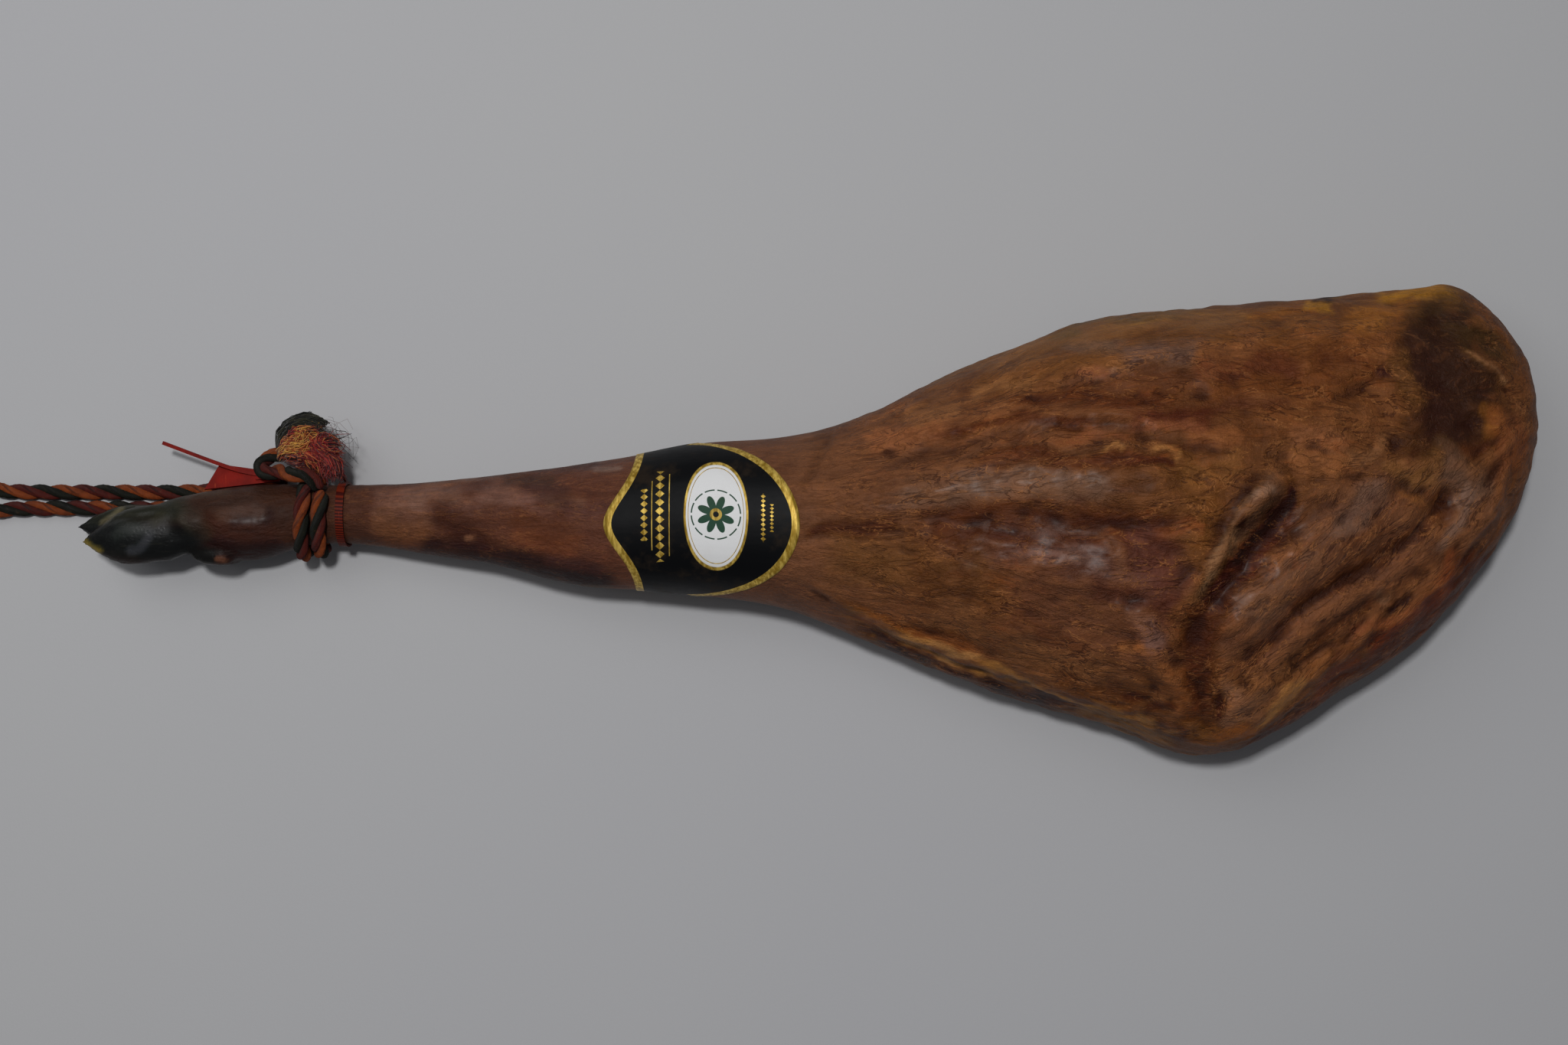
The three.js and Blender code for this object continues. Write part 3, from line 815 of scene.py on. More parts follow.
# The strokes that model the upper side: path, half the breadth, height, and shape if not round.
STROKES = (
    # The aitch bone in its bed, and the groove beyond it.
    (GROOVE, 13, -4.6),
    (GROOVE[:12], 5, -4.0, EDGE),
    (GROOVE[8:], 13, -3.4),
    ((282, 22, 268, 3, 246, -27, 228, -50), 16, -2.2),
    (AITCH_BONE, 4.8, 7.5),
    ((280, 26, 272, 15, 266, 7), 8.5, 3.6),
    ((273, 10, 262, -6, 249, -24, 235, -42), 7.8, -1.9, EDGE),
    ((271, 13, 268, 9), 5.5, 3.2),
    ((261, -1, 259, -3), 3.6, 2.4),
    ((270, 17, 259, 0, 244, -24), 3.4, -2.6, EDGE),
    # The middle of the lean: a broad ridge between two valleys.
    ((8, 4, 60, 14, 125, 24, 196, 22, 236, 22), 21, 3.6),
    ((50, 0, 111, 1, 165, -3, 214, -14, 232, -34), 15, -3.4),
    ((60, -20, 110, -30, 160, -30, 196, -34), 19, 1.6),
    ((170, -54, 206, -60, 226, -70), 18, 3.0),
    ((196, -46, 208, -74, 216, -92), 7, 1.9),
    ((90, -62, 150, -76, 205, -92), 16, 1.6),
    ((120, -40, 170, -52, 190, -52), 9, -1.6),
    ((30, 30, 90, 42, 150, 46, 210, 48, 262, 42), 8, -2.6),
    ((52, 44, 92, 58, 150, 66, 215, 66), 8, 1.9),
    ((80, 66, 150, 78, 230, 76, 268, 66), 7, -2.3),
    ((110, 84, 170, 94, 236, 98, 290, 96), 11, 2.2),
    ((150, 82, 200, 84, 238, 88), 4, -1.6, EDGE),
    ((240, 92, 290, 84, 330, 76, 352, 70), 9, -2.0),
    ((258, 76, 300, 68, 340, 60), 9, 1.6),
    ((230, 60, 270, 62, 312, 72, 348, 90), 7, -1.6),
    ((300, 104, 338, 108, 362, 112), 11, 2.2),
    ((318, 84, 344, 96, 366, 104), 9, 1.4),
    ((96, 30, 140, 34, 186, 34, 226, 34), 3.4, -1.7, EDGE),
    ((128, 52, 168, 55, 214, 58), 3.0, -1.4, EDGE),
    ((176, 72, 206, 70, 236, 64), 3.0, -1.5, EDGE),
    # Torn threads and curls of lean.
    ((184, 40, 190, 45, 197, 43, 193, 39), 1.8, 1.9),
    ((204, 41, 212, 43, 221, 40, 217, 36), 1.9, 2.0),
    ((150, 40, 158, 43, 168, 42), 1.7, 1.3),
    ((226, 46, 240, 50, 254, 44), 2.2, 1.8),
    ((238, 34, 250, 38, 264, 34), 2.0, 1.7),
    ((228, 24, 238, 20, 246, 24, 240, 29), 2.6, 1.6),
    ((212, -6, 222, -9, 230, -4, 238, -9), 2.2, 1.7),
    ((208, 4, 220, 7, 234, 6), 2.4, 1.3),
    ((178, -6, 188, -14, 192, -24), 2.6, 1.3),
    ((215, -22, 222, -24, 226, -20), 1.8, 1.2),
    ((196, 56, 206, 60, 216, 56), 2.0, 1.2),
    ((96, 80, 102, 76, 108, 80), 2.2, 1.5),
    ((120, 68, 138, 70, 160, 67), 2.2, 1.2),
    ((160, 60, 180, 63, 202, 61), 1.9, 1.1),
    ((70, 54, 86, 57, 102, 55), 2.3, 1.3),
    ((52, 62, 66, 66, 80, 72), 2.6, 1.4),
    # Rough flesh between the bone and the dark patch.
    ((292, 46, 302, 50, 314, 45, 322, 50), 2.6, 2.2),
    ((288, 36, 300, 38, 312, 34, 324, 38), 2.6, 2.0),
    ((296, 28, 308, 30, 320, 26), 2.4, 1.6),
    ((318, 42, 328, 44, 337, 40), 2.2, 1.8),
    ((304, 41, 309, 37, 316, 41), 2.0, 1.6),
    ((330, 32, 340, 36, 346, 44), 3.2, 1.5),
    ((350, 32, 362, 29, 372, 33), 9, 3.2),
    ((352, 36, 360, 17, 374, 20), 3.6, -2.1, EDGE),
    ((344, 60, 352, 48, 350, 38), 5, -1.8),
    # The smooth dark patch at the corner, and its folded edge.
    ((376, 110, 384, 86, 398, 62), 20, -3.2),
    ((352, 96, 362, 74, 366, 52), 7, 1.5),
    ((386, 103, 400, 92, 421, 77), 2.2, 2.2),
    ((388, 98, 402, 88, 419, 75), 2.2, -1.6, EDGE),
    ((376, 126, 392, 122, 408, 108), 5, 2.2),
    ((398, 66, 410, 60, 414, 48, 406, 40), 6, 3.0),
    ((394, 56, 398, 46, 392, 38), 5, -2.4),
    ((344, 118, 362, 122, 376, 130), 6, 1.8),
    # The fibrous lobe: valleys slanting up to the right.
    ((248, -96, 282, -68, 317, -40, 364, -8, 396, 34), 9, -5.0),
    ((248, -94, 282, -66, 317, -38, 362, -6), 3.4, -2.0, EDGE),
    ((283, -94, 314, -65, 340, -46, 376, -20), 7, -3.2),
    ((252, -74, 284, -42, 322, -8, 346, 10), 14, 3.6),
    ((270, -48, 300, -16, 318, 4), 8, 1.7),
    ((286, -30, 312, -4, 330, 10), 3.6, -1.5, EDGE),
    ((262, -92, 300, -62, 344, -34, 378, 0, 398, 16), 8, 2.8),
    ((322, -46, 352, -30, 384, -4), 5, 1.4),
    ((302, 18, 330, 22, 352, 8, 362, -2), 8, 1.4),
    ((388, 34, 398, 10, 392, -8), 10, 3.2),
    ((376, 24, 384, 10, 380, -4), 4, -2.0, EDGE),
    ((256, -116, 268, -104, 286, -96), 9, 2.4),
    ((254, -100, 262, -92, 276, -92, 290, -100), 3.4, -1.8, EDGE),
    ((246, -112, 252, -100, 262, -98), 4, -1.6),
    ((350, -44, 356, -50, 360, -46), 3.4, -2.6),
    ((342, -36, 347, -40, 352, -36), 2.4, 1.8),
    ((354, -52, 364, -48, 372, -40), 3.0, 1.6),
    ((282, -24, 288, -17, 292, -20), 2.4, 1.6),
    # The rim of fat and skin at the lobe's lower right.
    (RIM, 4.6, 4.2),
    ((250, -119, 270, -109, 292, -90, 318, -70, 346, -55), 4, -2.5, EDGE),
    ((252, -136, 282, -121, 304, -101, 336, -82), 2.6, -2.2, EDGE),
    ((300, -93, 312, -86, 326, -74), 3, 1.7),
    ((366, -52, 384, -34, 400, -14), 3, -1.7, EDGE),
    # The lip of fat over the skin at the lower left, with the gap under it.
    (LOWER_LIP, 5.0, 3.6, LIP),
    ((30, -57, 66, -75, 105, -91, 148, -106, 196, -124), 3.4, -3.2, EDGE),
    ((28, -45, 64, -60, 100, -72, 130, -80), 3.2, -2.2, EDGE),
    ((46, -63, 70, -69, 92, -80, 112, -84), 2.2, 1.8),
    ((110, -88, 130, -92, 152, -101, 176, -112), 2.4, 2.0),
    ((12, -62, 50, -79, 90, -96, 140, -113, 190, -131), 3.2, 1.7),
    ((60, -84, 66, -88, 74, -87), 3.0, -2.0),
    # Mottled corner between the lip and the groove.
    ((196, -100, 204, -103, 210, -98), 3.2, -2.0),
    ((206, -110, 216, -112, 224, -106), 3.2, -2.0),
    ((198, -80, 206, -76, 212, -82), 3.6, 2.2),
    ((216, -90, 224, -98, 232, -110), 5.0, 2.4),
    ((212, -118, 226, -122, 238, -118), 4.0, 1.6),
    ((186, -92, 196, -90, 206, -94), 2.6, 1.4),
    # Where the skin ends beside the band.
    ((28, 62, 19, 44, 10, 26, 4, 8), 2.2, 0.9, LIP),
    ((34, 58, 40, 55, 44, 60), 2.6, 1.8),
    ((4, -8, 18, -9, 36, -8), 3.0, -2.2, EDGE),
    ((-20, -31, 2, -36, 24, -47), 2.6, 2.2, LIP),
    ((10, -26, 30, -34, 52, -42), 4, 1.8),
    ((8, 20, 36, 34, 62, 40), 5, -1.6),
    # Shank.
    ((-256, 9, -218, 11, -182, 17, -137, 15, -112, 14), 7, 1.7),
    ((-250, -14, -205, -17, -160, -24, -112, -30), 6, 1.2),
    ((-210, -4, -197, -8, -184, -6), 8, -1.9),
    ((-196, -10, -190, -11), 2.6, 1.6),
    ((-176, 0, -150, -4, -118, -4), 6, -1.3),
    ((-240, 2, -224, 0, -208, 4), 4, -1.1),
    ((-232, 18, -206, 20, -180, 23), 3, -1.0, EDGE),
    ((-158, 10, -140, 6, -120, 7), 3, -0.9, EDGE),
    ((-124, -40, -120, -42), 2.6, 1.8),
    ((-116, -41, -112, -42), 2.2, 1.4),
    # Trotter: the parting of the claws, the coronet, and the joints.
    ((-432, 2, -412, 0, -392, 3, -372, 4), 3.0, -3.0, EDGE),
    ((-362, 18, -352, 8, -350, -6, -356, -14), 4, -2.0),
    ((-366, 14, -362, 4, -364, -6), 3, 1.3),
    ((-352, -10, -340, -16, -326, -20, -314, -20), 3.4, -2.4, EDGE),
    ((-344, 16, -330, 18, -314, 16), 5, 1.4),
    ((-340, 0, -326, -2, -312, 0), 7, 1.6),
    ((-342, -24, -335, -26), 3.4, 0.9),
    ((-334, 8, -330, -4, -334, -12), 2.4, -0.9, EDGE),
    ((-322, 12, -318, 0, -322, -12), 2.4, -0.8, EDGE),
)

# The dabs that paint the leg, from the broadest to the finest, among them painted highlights and painted
# shade: path, half the breadth, colour, strength.
DABS = (
    # Broad tones of the body.
    ((90, 74, 160, 92, 250, 104, 330, 106), 22, (103, 65, 36)),
    ((60, 40, 140, 62, 230, 66, 300, 62), 17, (98, 60, 38), 0.7),
    ((40, 10, 125, 22, 200, 20), 22, (90, 60, 43), 0.8),
    # painted shade: the valley below the middle ridge, darkened
    ((60, -2, 120, 0, 180, -4, 224, -16), 15, (72, 40, 25), 0.85),
    ((10, -18, 60, -28, 120, -38), 15, (88, 58, 34), 0.7),
    ((60, -34, 110, -44, 150, -50), 15, (80, 49, 30), 0.7),
    ((130, -14, 170, -24, 196, -32), 17, (84, 53, 43), 0.75),
    ((138, -48, 172, -62, 200, -72), 19, (90, 57, 41), 0.8),
    ((70, -52, 110, -68, 160, -86, 196, -100), 13, (95, 62, 40), 0.75),
    ((206, -40, 210, -58, 216, -74), 12, (86, 55, 44), 0.7),
    ((204, -12, 216, -28, 222, -44), 13, (80, 47, 40), 0.7),
    ((222, 34, 240, 10, 236, -12), 12, (88, 55, 30), 0.7),
    ((252, 80, 300, 88, 340, 98), 20, (94, 54, 31), 0.75),
    ((256, 54, 300, 62, 340, 74), 16, (92, 56, 34), 0.75),
    ((340, 60, 350, 84, 356, 108), 15, (96, 60, 38), 0.6),
    ((258, -60, 296, -24, 340, 8), 26, (88, 57, 41), 0.85),
    ((262, -90, 320, -48, 380, 0), 18, (92, 60, 44), 0.8),
    ((250, -104, 272, -98, 300, -84), 13, (99, 64, 40), 0.7),
    ((350, -52, 386, -20, 408, 20), 13, (98, 62, 42), 0.7),
    # painted highlight along the lobe's ridge by the right edge
    ((386, 30, 400, 8, 396, -10), 12, (98, 76, 64), 0.6),
    # Painted highlights: the sheen that the fat and the dried lean show, painted as lighter dabs.
    ((50, 10, 90, 18, 140, 25, 200, 22), 9, (104, 78, 62), 0.6),
    ((188, 91, 212, 95, 236, 97), 8, (88, 66, 58), 0.75),
    ((150, 100, 176, 104, 196, 103), 5, (104, 80, 66), 0.6),
    ((200, -50, 208, -60, 216, -72), 7, (102, 76, 68), 0.6),
    ((134, -10, 160, -18, 186, -26), 7, (98, 70, 60), 0.6),
    ((314, -12, 326, 4, 338, 16), 8, (104, 80, 68), 0.6),
    ((374, -24, 388, -6, 396, 24), 5, (108, 84, 72), 0.6),
    ((260, -62, 288, -34, 306, -14), 8, (97, 70, 54), 0.5),
    # Streaks of dark lean.
    ((96, 30, 150, 36, 214, 38), 4.5, (70, 37, 19), 0.75),
    ((80, 52, 130, 58, 186, 58), 3.4, (72, 38, 20), 0.7),
    ((120, 66, 170, 72, 230, 72), 5, (74, 40, 22), 0.75),
    ((150, 80, 200, 82, 246, 80), 6, (76, 46, 32), 0.7),
    ((228, 90, 262, 92, 300, 92), 7, (88, 48, 34), 0.6),
    ((190, 66, 226, 62, 246, 56), 4, (70, 34, 24), 0.7),
    ((236, 60, 262, 66, 290, 66), 4, (76, 44, 32), 0.6),
    ((110, -8, 150, -12, 190, -16), 4, (64, 34, 22), 0.7),
    ((168, -36, 196, -44, 222, -48), 6, (70, 40, 30), 0.65),
    ((120, -52, 150, -64, 176, -80), 5, (78, 46, 30), 0.5),
    ((150, -92, 176, -100, 204, -112), 7, (78, 46, 28), 0.7),
    ((0, -8, 30, -8, 64, -6), 4, (56, 32, 20), 0.8),
    ((20, -46, 60, -62, 110, -76), 5, (62, 36, 20), 0.75),
    ((300, 96, 326, 92, 350, 90), 5, (84, 48, 30), 0.5),
    ((345, 92, 351, 88), 3.4, (48, 28, 18), 0.9),
    ((-16, 52, 0, 56, 20, 58), 8, (66, 42, 32), 0.6),
    ((16, 54, 12, 36, 2, 14), 4, (78, 50, 34), 0.6),
    # Warm orange and pink lean and fat.
    ((36, 44, 62, 50, 92, 58), 8, (124, 76, 48), 0.75),
    ((58, 58, 76, 66, 96, 72), 6, (120, 80, 50), 0.6),
    ((100, 74, 118, 80, 140, 84), 5, (124, 84, 52), 0.6),
    ((160, 84, 174, 86, 186, 84), 3.4, (122, 74, 50), 0.6),
    ((228, 100, 250, 102, 272, 104), 6, (120, 74, 46), 0.6),
    ((196, 58, 222, 56, 244, 52), 3.4, (124, 72, 48), 0.7),
    ((226, 46, 246, 48, 266, 44), 5, (122, 74, 44), 0.7),
    ((230, 30, 246, 28, 256, 34), 6, (110, 72, 40), 0.6),
    ((150, 48, 176, 52, 204, 50), 2.6, (118, 68, 42), 0.6),
    ((120, 42, 140, 44, 160, 46), 2.6, (112, 66, 40), 0.55),
    ((182, 40, 188, 45, 197, 43), 1.8, (144, 98, 56), 0.8),
    ((204, 42, 212, 43, 221, 39, 217, 35), 1.8, (144, 98, 56), 0.8),
    ((194, 36, 206, 37, 220, 34), 2.2, (62, 32, 17), 0.7),
    ((206, -8, 222, -6, 238, -8), 3.6, (116, 64, 38), 0.65),
    ((214, 2, 236, 4), 4, (104, 66, 38), 0.5),
    ((178, -8, 188, -16, 190, -28), 4, (112, 74, 52), 0.5),
    ((288, 46, 306, 48, 326, 46), 6, (120, 76, 50), 0.75),
    ((292, 34, 310, 36, 326, 36), 6, (124, 78, 48), 0.75),
    ((328, 40, 340, 42, 348, 50), 5, (120, 82, 54), 0.6),
    ((354, 32, 366, 28, 374, 34), 7, (112, 76, 44), 0.7),
    ((356, 18, 366, 16), 3, (134, 84, 46), 0.6),
    ((276, -36, 284, -26, 290, -18), 3, (118, 72, 46), 0.6),
    ((256, -44, 270, -26, 282, -10), 3.2, (76, 36, 22), 0.6),
    ((330, -56, 352, -46, 376, -26), 7, (112, 70, 44), 0.6),
    ((196, -78, 206, -76), 4, (132, 80, 44), 0.7),
    ((218, -92, 226, -102, 230, -112), 6, (116, 70, 42), 0.7),
    ((262, -110, 272, -106, 284, -104), 7, (112, 78, 58), 0.6),
    # Skin side and lip at the lower left.
    ((-26, -36, 0, -44, 30, -56), 7, (78, 52, 40), 0.8),
    ((20, -62, 70, -88, 130, -110, 200, -134), 6, (74, 46, 24), 0.85),
    # painted shadow: the dark line in the gap under the lip of fat
    ((26, -57, 66, -76, 110, -94, 160, -112), 3.0, (36, 20, 11), 0.9),
    ((30, -50, 56, -60, 84, -72, 112, -80), 4, (112, 64, 36), 0.75),
    ((52, -66, 76, -71, 96, -80, 112, -84), 2.4, (146, 104, 62), 0.85),
    ((100, -85, 130, -92, 156, -104, 184, -116), 2.8, (140, 96, 50), 0.85),
    # painted shadow in the same gap
    ((120, -94, 146, -104, 170, -114), 2.0, (54, 31, 16), 0.8),
    ((40, -68, 60, -80, 84, -90), 3.0, (86, 58, 28), 0.7),
    ((160, -112, 196, -122, 228, -130), 5, (112, 76, 36), 0.75),
    ((50, -72, 58, -76), 3.4, (40, 24, 14), 0.8),
    ((78, -78, 88, -82), 2.4, (52, 28, 16), 0.7),
    ((194, -104, 202, -106), 3.2, (64, 36, 20), 0.8),
    ((210, -112, 220, -110), 3.4, (60, 34, 18), 0.8),
    ((214, -122, 228, -126), 3.0, (56, 32, 18), 0.7),
    ((204, -116, 214, -120), 2.6, (128, 90, 48), 0.7),
    ((236, -124, 258, -130), 6, (104, 66, 32), 0.6),
    # Upper edge: fat, grey-brown skin.
    ((60, 74, 110, 96, 170, 112, 250, 122, 300, 124), 6, (112, 78, 50), 0.7),
    ((70, 84, 120, 105, 180, 119, 250, 128), 4, (92, 70, 42), 0.6),
    ((262, 122, 290, 124, 310, 126), 5, (106, 62, 30), 0.6),
    ((296, 126, 308, 128, 318, 128), 3.4, (142, 98, 36), 0.85),
    ((336, 131, 356, 135, 380, 138, 394, 134), 4.2, (146, 100, 36), 0.85),
    ((318, 118, 346, 122, 370, 128), 7, (122, 76, 36), 0.75),
    ((330, 106, 352, 112, 370, 120), 8, (112, 68, 38), 0.6),
    ((304, 131, 314, 131), 2.2, (40, 26, 18), 0.9),
    ((396, 128, 414, 114, 426, 92), 6, (98, 58, 34), 0.7),
    # The dark patch.
    ((380, 106, 384, 84, 394, 64), 22, (50, 33, 20), 0.92),
    ((366, 96, 366, 72, 374, 50), 14, (50, 32, 19), 0.85),
    ((374, 120, 388, 118, 406, 100), 14, (62, 44, 27), 0.85),
    ((374, 122, 382, 124, 392, 120), 6, (42, 30, 20), 0.8),
    ((384, 120, 393, 110, 404, 94), 14, (58, 42, 27), 0.9),
    ((374, 106, 382, 92, 396, 78), 12, (50, 34, 21), 0.9),
    ((366, 92, 372, 74, 388, 52), 9, (50, 33, 21), 0.7),
    ((384, 124, 394, 120), 5, (46, 32, 24), 0.7),
    ((388, 102, 402, 92, 420, 77), 1.5, (134, 98, 66), 0.85),
    ((398, 100, 412, 88), 5, (86, 52, 34), 0.6),
    ((352, 104, 360, 82, 360, 60), 6, (92, 60, 36), 0.7),
    ((402, 66, 409, 58, 410, 50), 3.6, (124, 76, 38), 0.6),
    ((412, 62, 418, 48, 418, 34), 6, (116, 66, 36), 0.75),
    ((396, 42, 406, 44), 4, (88, 48, 30), 0.6),
    ((378, 44, 388, 40), 5, (94, 68, 54), 0.5),
    # Groove, bone, and the valleys of the lobe. The dark dabs in the groove, beside the bone and in the
    # lobe's valleys are painted shade; the pale spot on the bone's head is a painted highlight.
    (GROOVE, 10, (62, 33, 17), 0.7),
    ((250, -46, 240, -60, 238, -78), 9, (66, 38, 22), 0.7),
    ((250, -92, 284, -64, 318, -36, 364, -6, 390, 26), 4.5, (70, 40, 26), 0.7),
    ((290, -88, 318, -62, 344, -44), 3.6, (76, 44, 28), 0.65),
    ((304, -12, 326, -16, 352, 0), 6, (78, 46, 30), 0.5),
    ((372, 22, 382, 8, 378, -4), 4, (74, 42, 28), 0.6),
    ((276, 20, 256, -4, 240, -30, 228, -46), 9, (74, 45, 26), 0.7),
    ((288, 22, 270, -4, 252, -30, 238, -54), 9, (48, 26, 14), 0.75),
    ((272, 22, 258, 0, 242, -24, 228, -44), 3, (46, 26, 15), 0.7),
    ((283, 30, 290, 20, 280, 6, 266, -12, 250, -34), 4.5, (34, 18, 10), 0.9),
    ((268, 24, 262, 10, 252, -6, 238, -28), 3.0, (48, 27, 16), 0.75),
    (AITCH_BONE, 5.6, (104, 76, 54), 0.95),
    ((277, 23, 270, 12, 263, 1), 6.5, (84, 60, 46), 0.9),
    # painted highlight on the bone's head
    ((275, 21, 269, 13), 3.0, (134, 106, 88), 0.75),
    ((262, 2, 258, -6), 2.4, (34, 22, 16), 0.8),
    ((248, -20, 236, -38), 2.4, (122, 92, 66), 0.7),
    ((230, -44, 224, -52), 5, (104, 64, 38), 0.7),
    # Rim. The pale dab in the hollow at the groove's foot is a painted highlight and the dark line beside it
    # is painted shade; the dark bands along the outer edge are painted shade where the rim turns down, over
    # its reddish-brown skin.
    ((254, -98, 260, -108, 258, -118), 6, (106, 74, 56), 0.8),
    ((246, -92, 250, -104, 252, -120), 2.6, (48, 25, 14), 0.8),
    ((248, -142, 284, -124, 314, -100, 352, -74, 388, -42, 414, 4), 6, (66, 36, 20), 0.9),
    (RIM, 5.0, (96, 58, 36), 0.55),
    ((330, -80, 350, -66, 372, -48, 392, -22), 4.0, (86, 40, 24), 0.8),
    ((300, -104, 316, -94, 332, -80), 3.4, (92, 46, 24), 0.7),
    ((268, -118, 284, -105, 298, -93), 3.4, (142, 98, 56), 0.85),
    ((296, -96, 306, -88, 314, -83), 3.4, (124, 78, 44), 0.7),
    ((318, -72, 330, -66, 340, -60), 4.0, (116, 66, 42), 0.7),
    ((312, -88, 330, -76, 350, -64), 2.4, (62, 34, 20), 0.7),
    ((244, -132, 258, -126, 272, -118), 4.5, (124, 72, 36), 0.75),
    ((336, -64, 350, -58, 362, -52), 4.0, (122, 70, 44), 0.7),
    ((376, -38, 386, -26), 4.0, (120, 66, 40), 0.6),
    ((352, -48, 357, -50), 2.8, (44, 28, 20), 0.9),
    ((346, -40, 350, -42), 2.4, (116, 84, 62), 0.7),
    ((404, 20, 418, 40, 424, 66), 5, (100, 60, 40), 0.6),
    # Shank. The paler dabs along its middle and upper side are painted highlights of its gloss, and the
    # darkest dabs along its lower edge are painted shade.
    ((-258, 10, -200, 16, -130, 20), 9, (82, 53, 43), 0.7),
    ((-252, 2, -236, 6, -216, 12), 5, (100, 70, 56), 0.6),
    ((-250, 22, -200, 28, -130, 36), 5, (66, 42, 34), 0.7),
    ((-250, -12, -190, -18, -130, -24), 9, (76, 46, 34), 0.6),
    ((-228, 0, -215, 6, -200, 10), 6, (92, 62, 50), 0.6),
    ((-190, 12, -176, 15, -160, 13), 5, (92, 66, 54), 0.7),
    ((-150, 8, -137, 10, -122, 8), 4, (96, 68, 54), 0.6),
    ((-132, -2, -119, -2), 5, (92, 62, 50), 0.5),
    ((-208, 4, -196, -8, -184, -20), 9, (54, 33, 27), 0.85),
    ((-224, -14, -196, -20, -170, -24), 7, (38, 26, 23), 0.85),
    ((-258, -18, -240, -20, -222, -20), 4, (50, 32, 27), 0.7),
    ((-195, -10, -192, -10), 1.7, (112, 76, 56), 0.9),
    ((-158, 20, -148, 17, -138, 13), 6, (56, 38, 36), 0.7),
    ((-186, 14, -174, 15, -160, 11), 5, (104, 72, 62), 0.6),
    ((-250, 14, -234, 14, -218, 10), 5, (96, 70, 60), 0.6),
    ((-172, -8, -150, -14, -126, -18), 6, (88, 50, 36), 0.7),
    ((-134, 6, -124, 4, -112, 6), 5, (66, 44, 40), 0.6),
    ((-226, 22, -206, 24, -184, 27), 3.4, (98, 66, 50), 0.6),
    ((-122, 30, -112, 30, -102, 31), 1.6, (118, 98, 88), 0.6),
    ((-248, -4, -232, -8, -214, -4), 4, (66, 40, 30), 0.7),
    ((-182, -22, -144, -29, -104, -38), 8.5, (34, 26, 26), 0.9),
    ((-150, -22, -128, -26, -112, -28), 4, (58, 38, 36), 0.6),
    ((-236, 16, -214, 17, -196, 14), 5, (96, 72, 62), 0.55),
    ((-176, 24, -158, 24, -140, 22), 4, (58, 40, 32), 0.6),
    ((-164, 0, -150, -8, -134, -10), 8, (78, 46, 32), 0.6),
    ((-244, -2, -232, -6, -222, -4), 7, (96, 62, 42), 0.6),
    ((-160, 28, -130, 33, -112, 36), 4, (62, 44, 42), 0.6),
    ((-124, -40, -112, -42), 3, (64, 50, 38), 0.8),
    # Trotter. The paler dabs along its top and on its middle are painted highlights, and so is the
    # bluish-grey dab on the near claw.
    ((-350, 8, -332, 10, -312, 8), 12, (52, 36, 30), 0.7),
    ((-346, -4, -330, -6, -314, -6), 9, (56, 34, 26), 0.7),
    ((-344, -16, -328, -21, -308, -18), 7, (38, 26, 23), 0.85),
    ((-330, 2, -320, 4, -312, 2), 5, (38, 28, 26), 0.6),
    ((-366, 17, -350, 20, -330, 20), 5, (66, 56, 48), 0.7),
    ((-338, 4, -326, 6, -316, 4), 4, (72, 52, 44), 0.6),
    ((-364, 12, -356, 4, -350, -8), 6, (48, 40, 35), 0.8),
    ((-366, 4, -360, -2, -356, -10), 2.2, (66, 58, 48), 0.7),
    ((-428, -5, -405, -9, -382, -13, -362, -15), 13, (26, 28, 28), 0.95),
    ((-414, 8, -392, 9, -368, 9), 9, (38, 39, 34), 0.9),
    # painted highlight on the near claw's horn
    ((-393, -18, -388, -17, -384, -13, -381, -8), 3.0, (58, 58, 62), 0.6),
    ((-404, -10, -394, -6, -384, -2), 3.0, (38, 40, 38), 0.6),
    ((-378, 0, -374, 4), 3.0, (44, 42, 34), 0.6),
    ((-398, -2, -388, -4), 4, (40, 42, 40), 0.6),
    ((-424, -8, -417, -14, -408, -19), 2.4, (112, 96, 44), 0.8),
    ((-410, -2, -402, 4, -396, 10), 1.6, (92, 84, 62), 0.6),
    ((-420, 4, -408, 8), 1.6, (90, 84, 66), 0.5),
    ((-356, -19, -346, -22), 5, (26, 25, 23), 0.95),
    ((-348, -15, -340, -18, -330, -21), 1.8, (32, 24, 21), 0.8),
    ((-342, -23, -336, -25), 1.7, (88, 58, 46), 0.75),
)


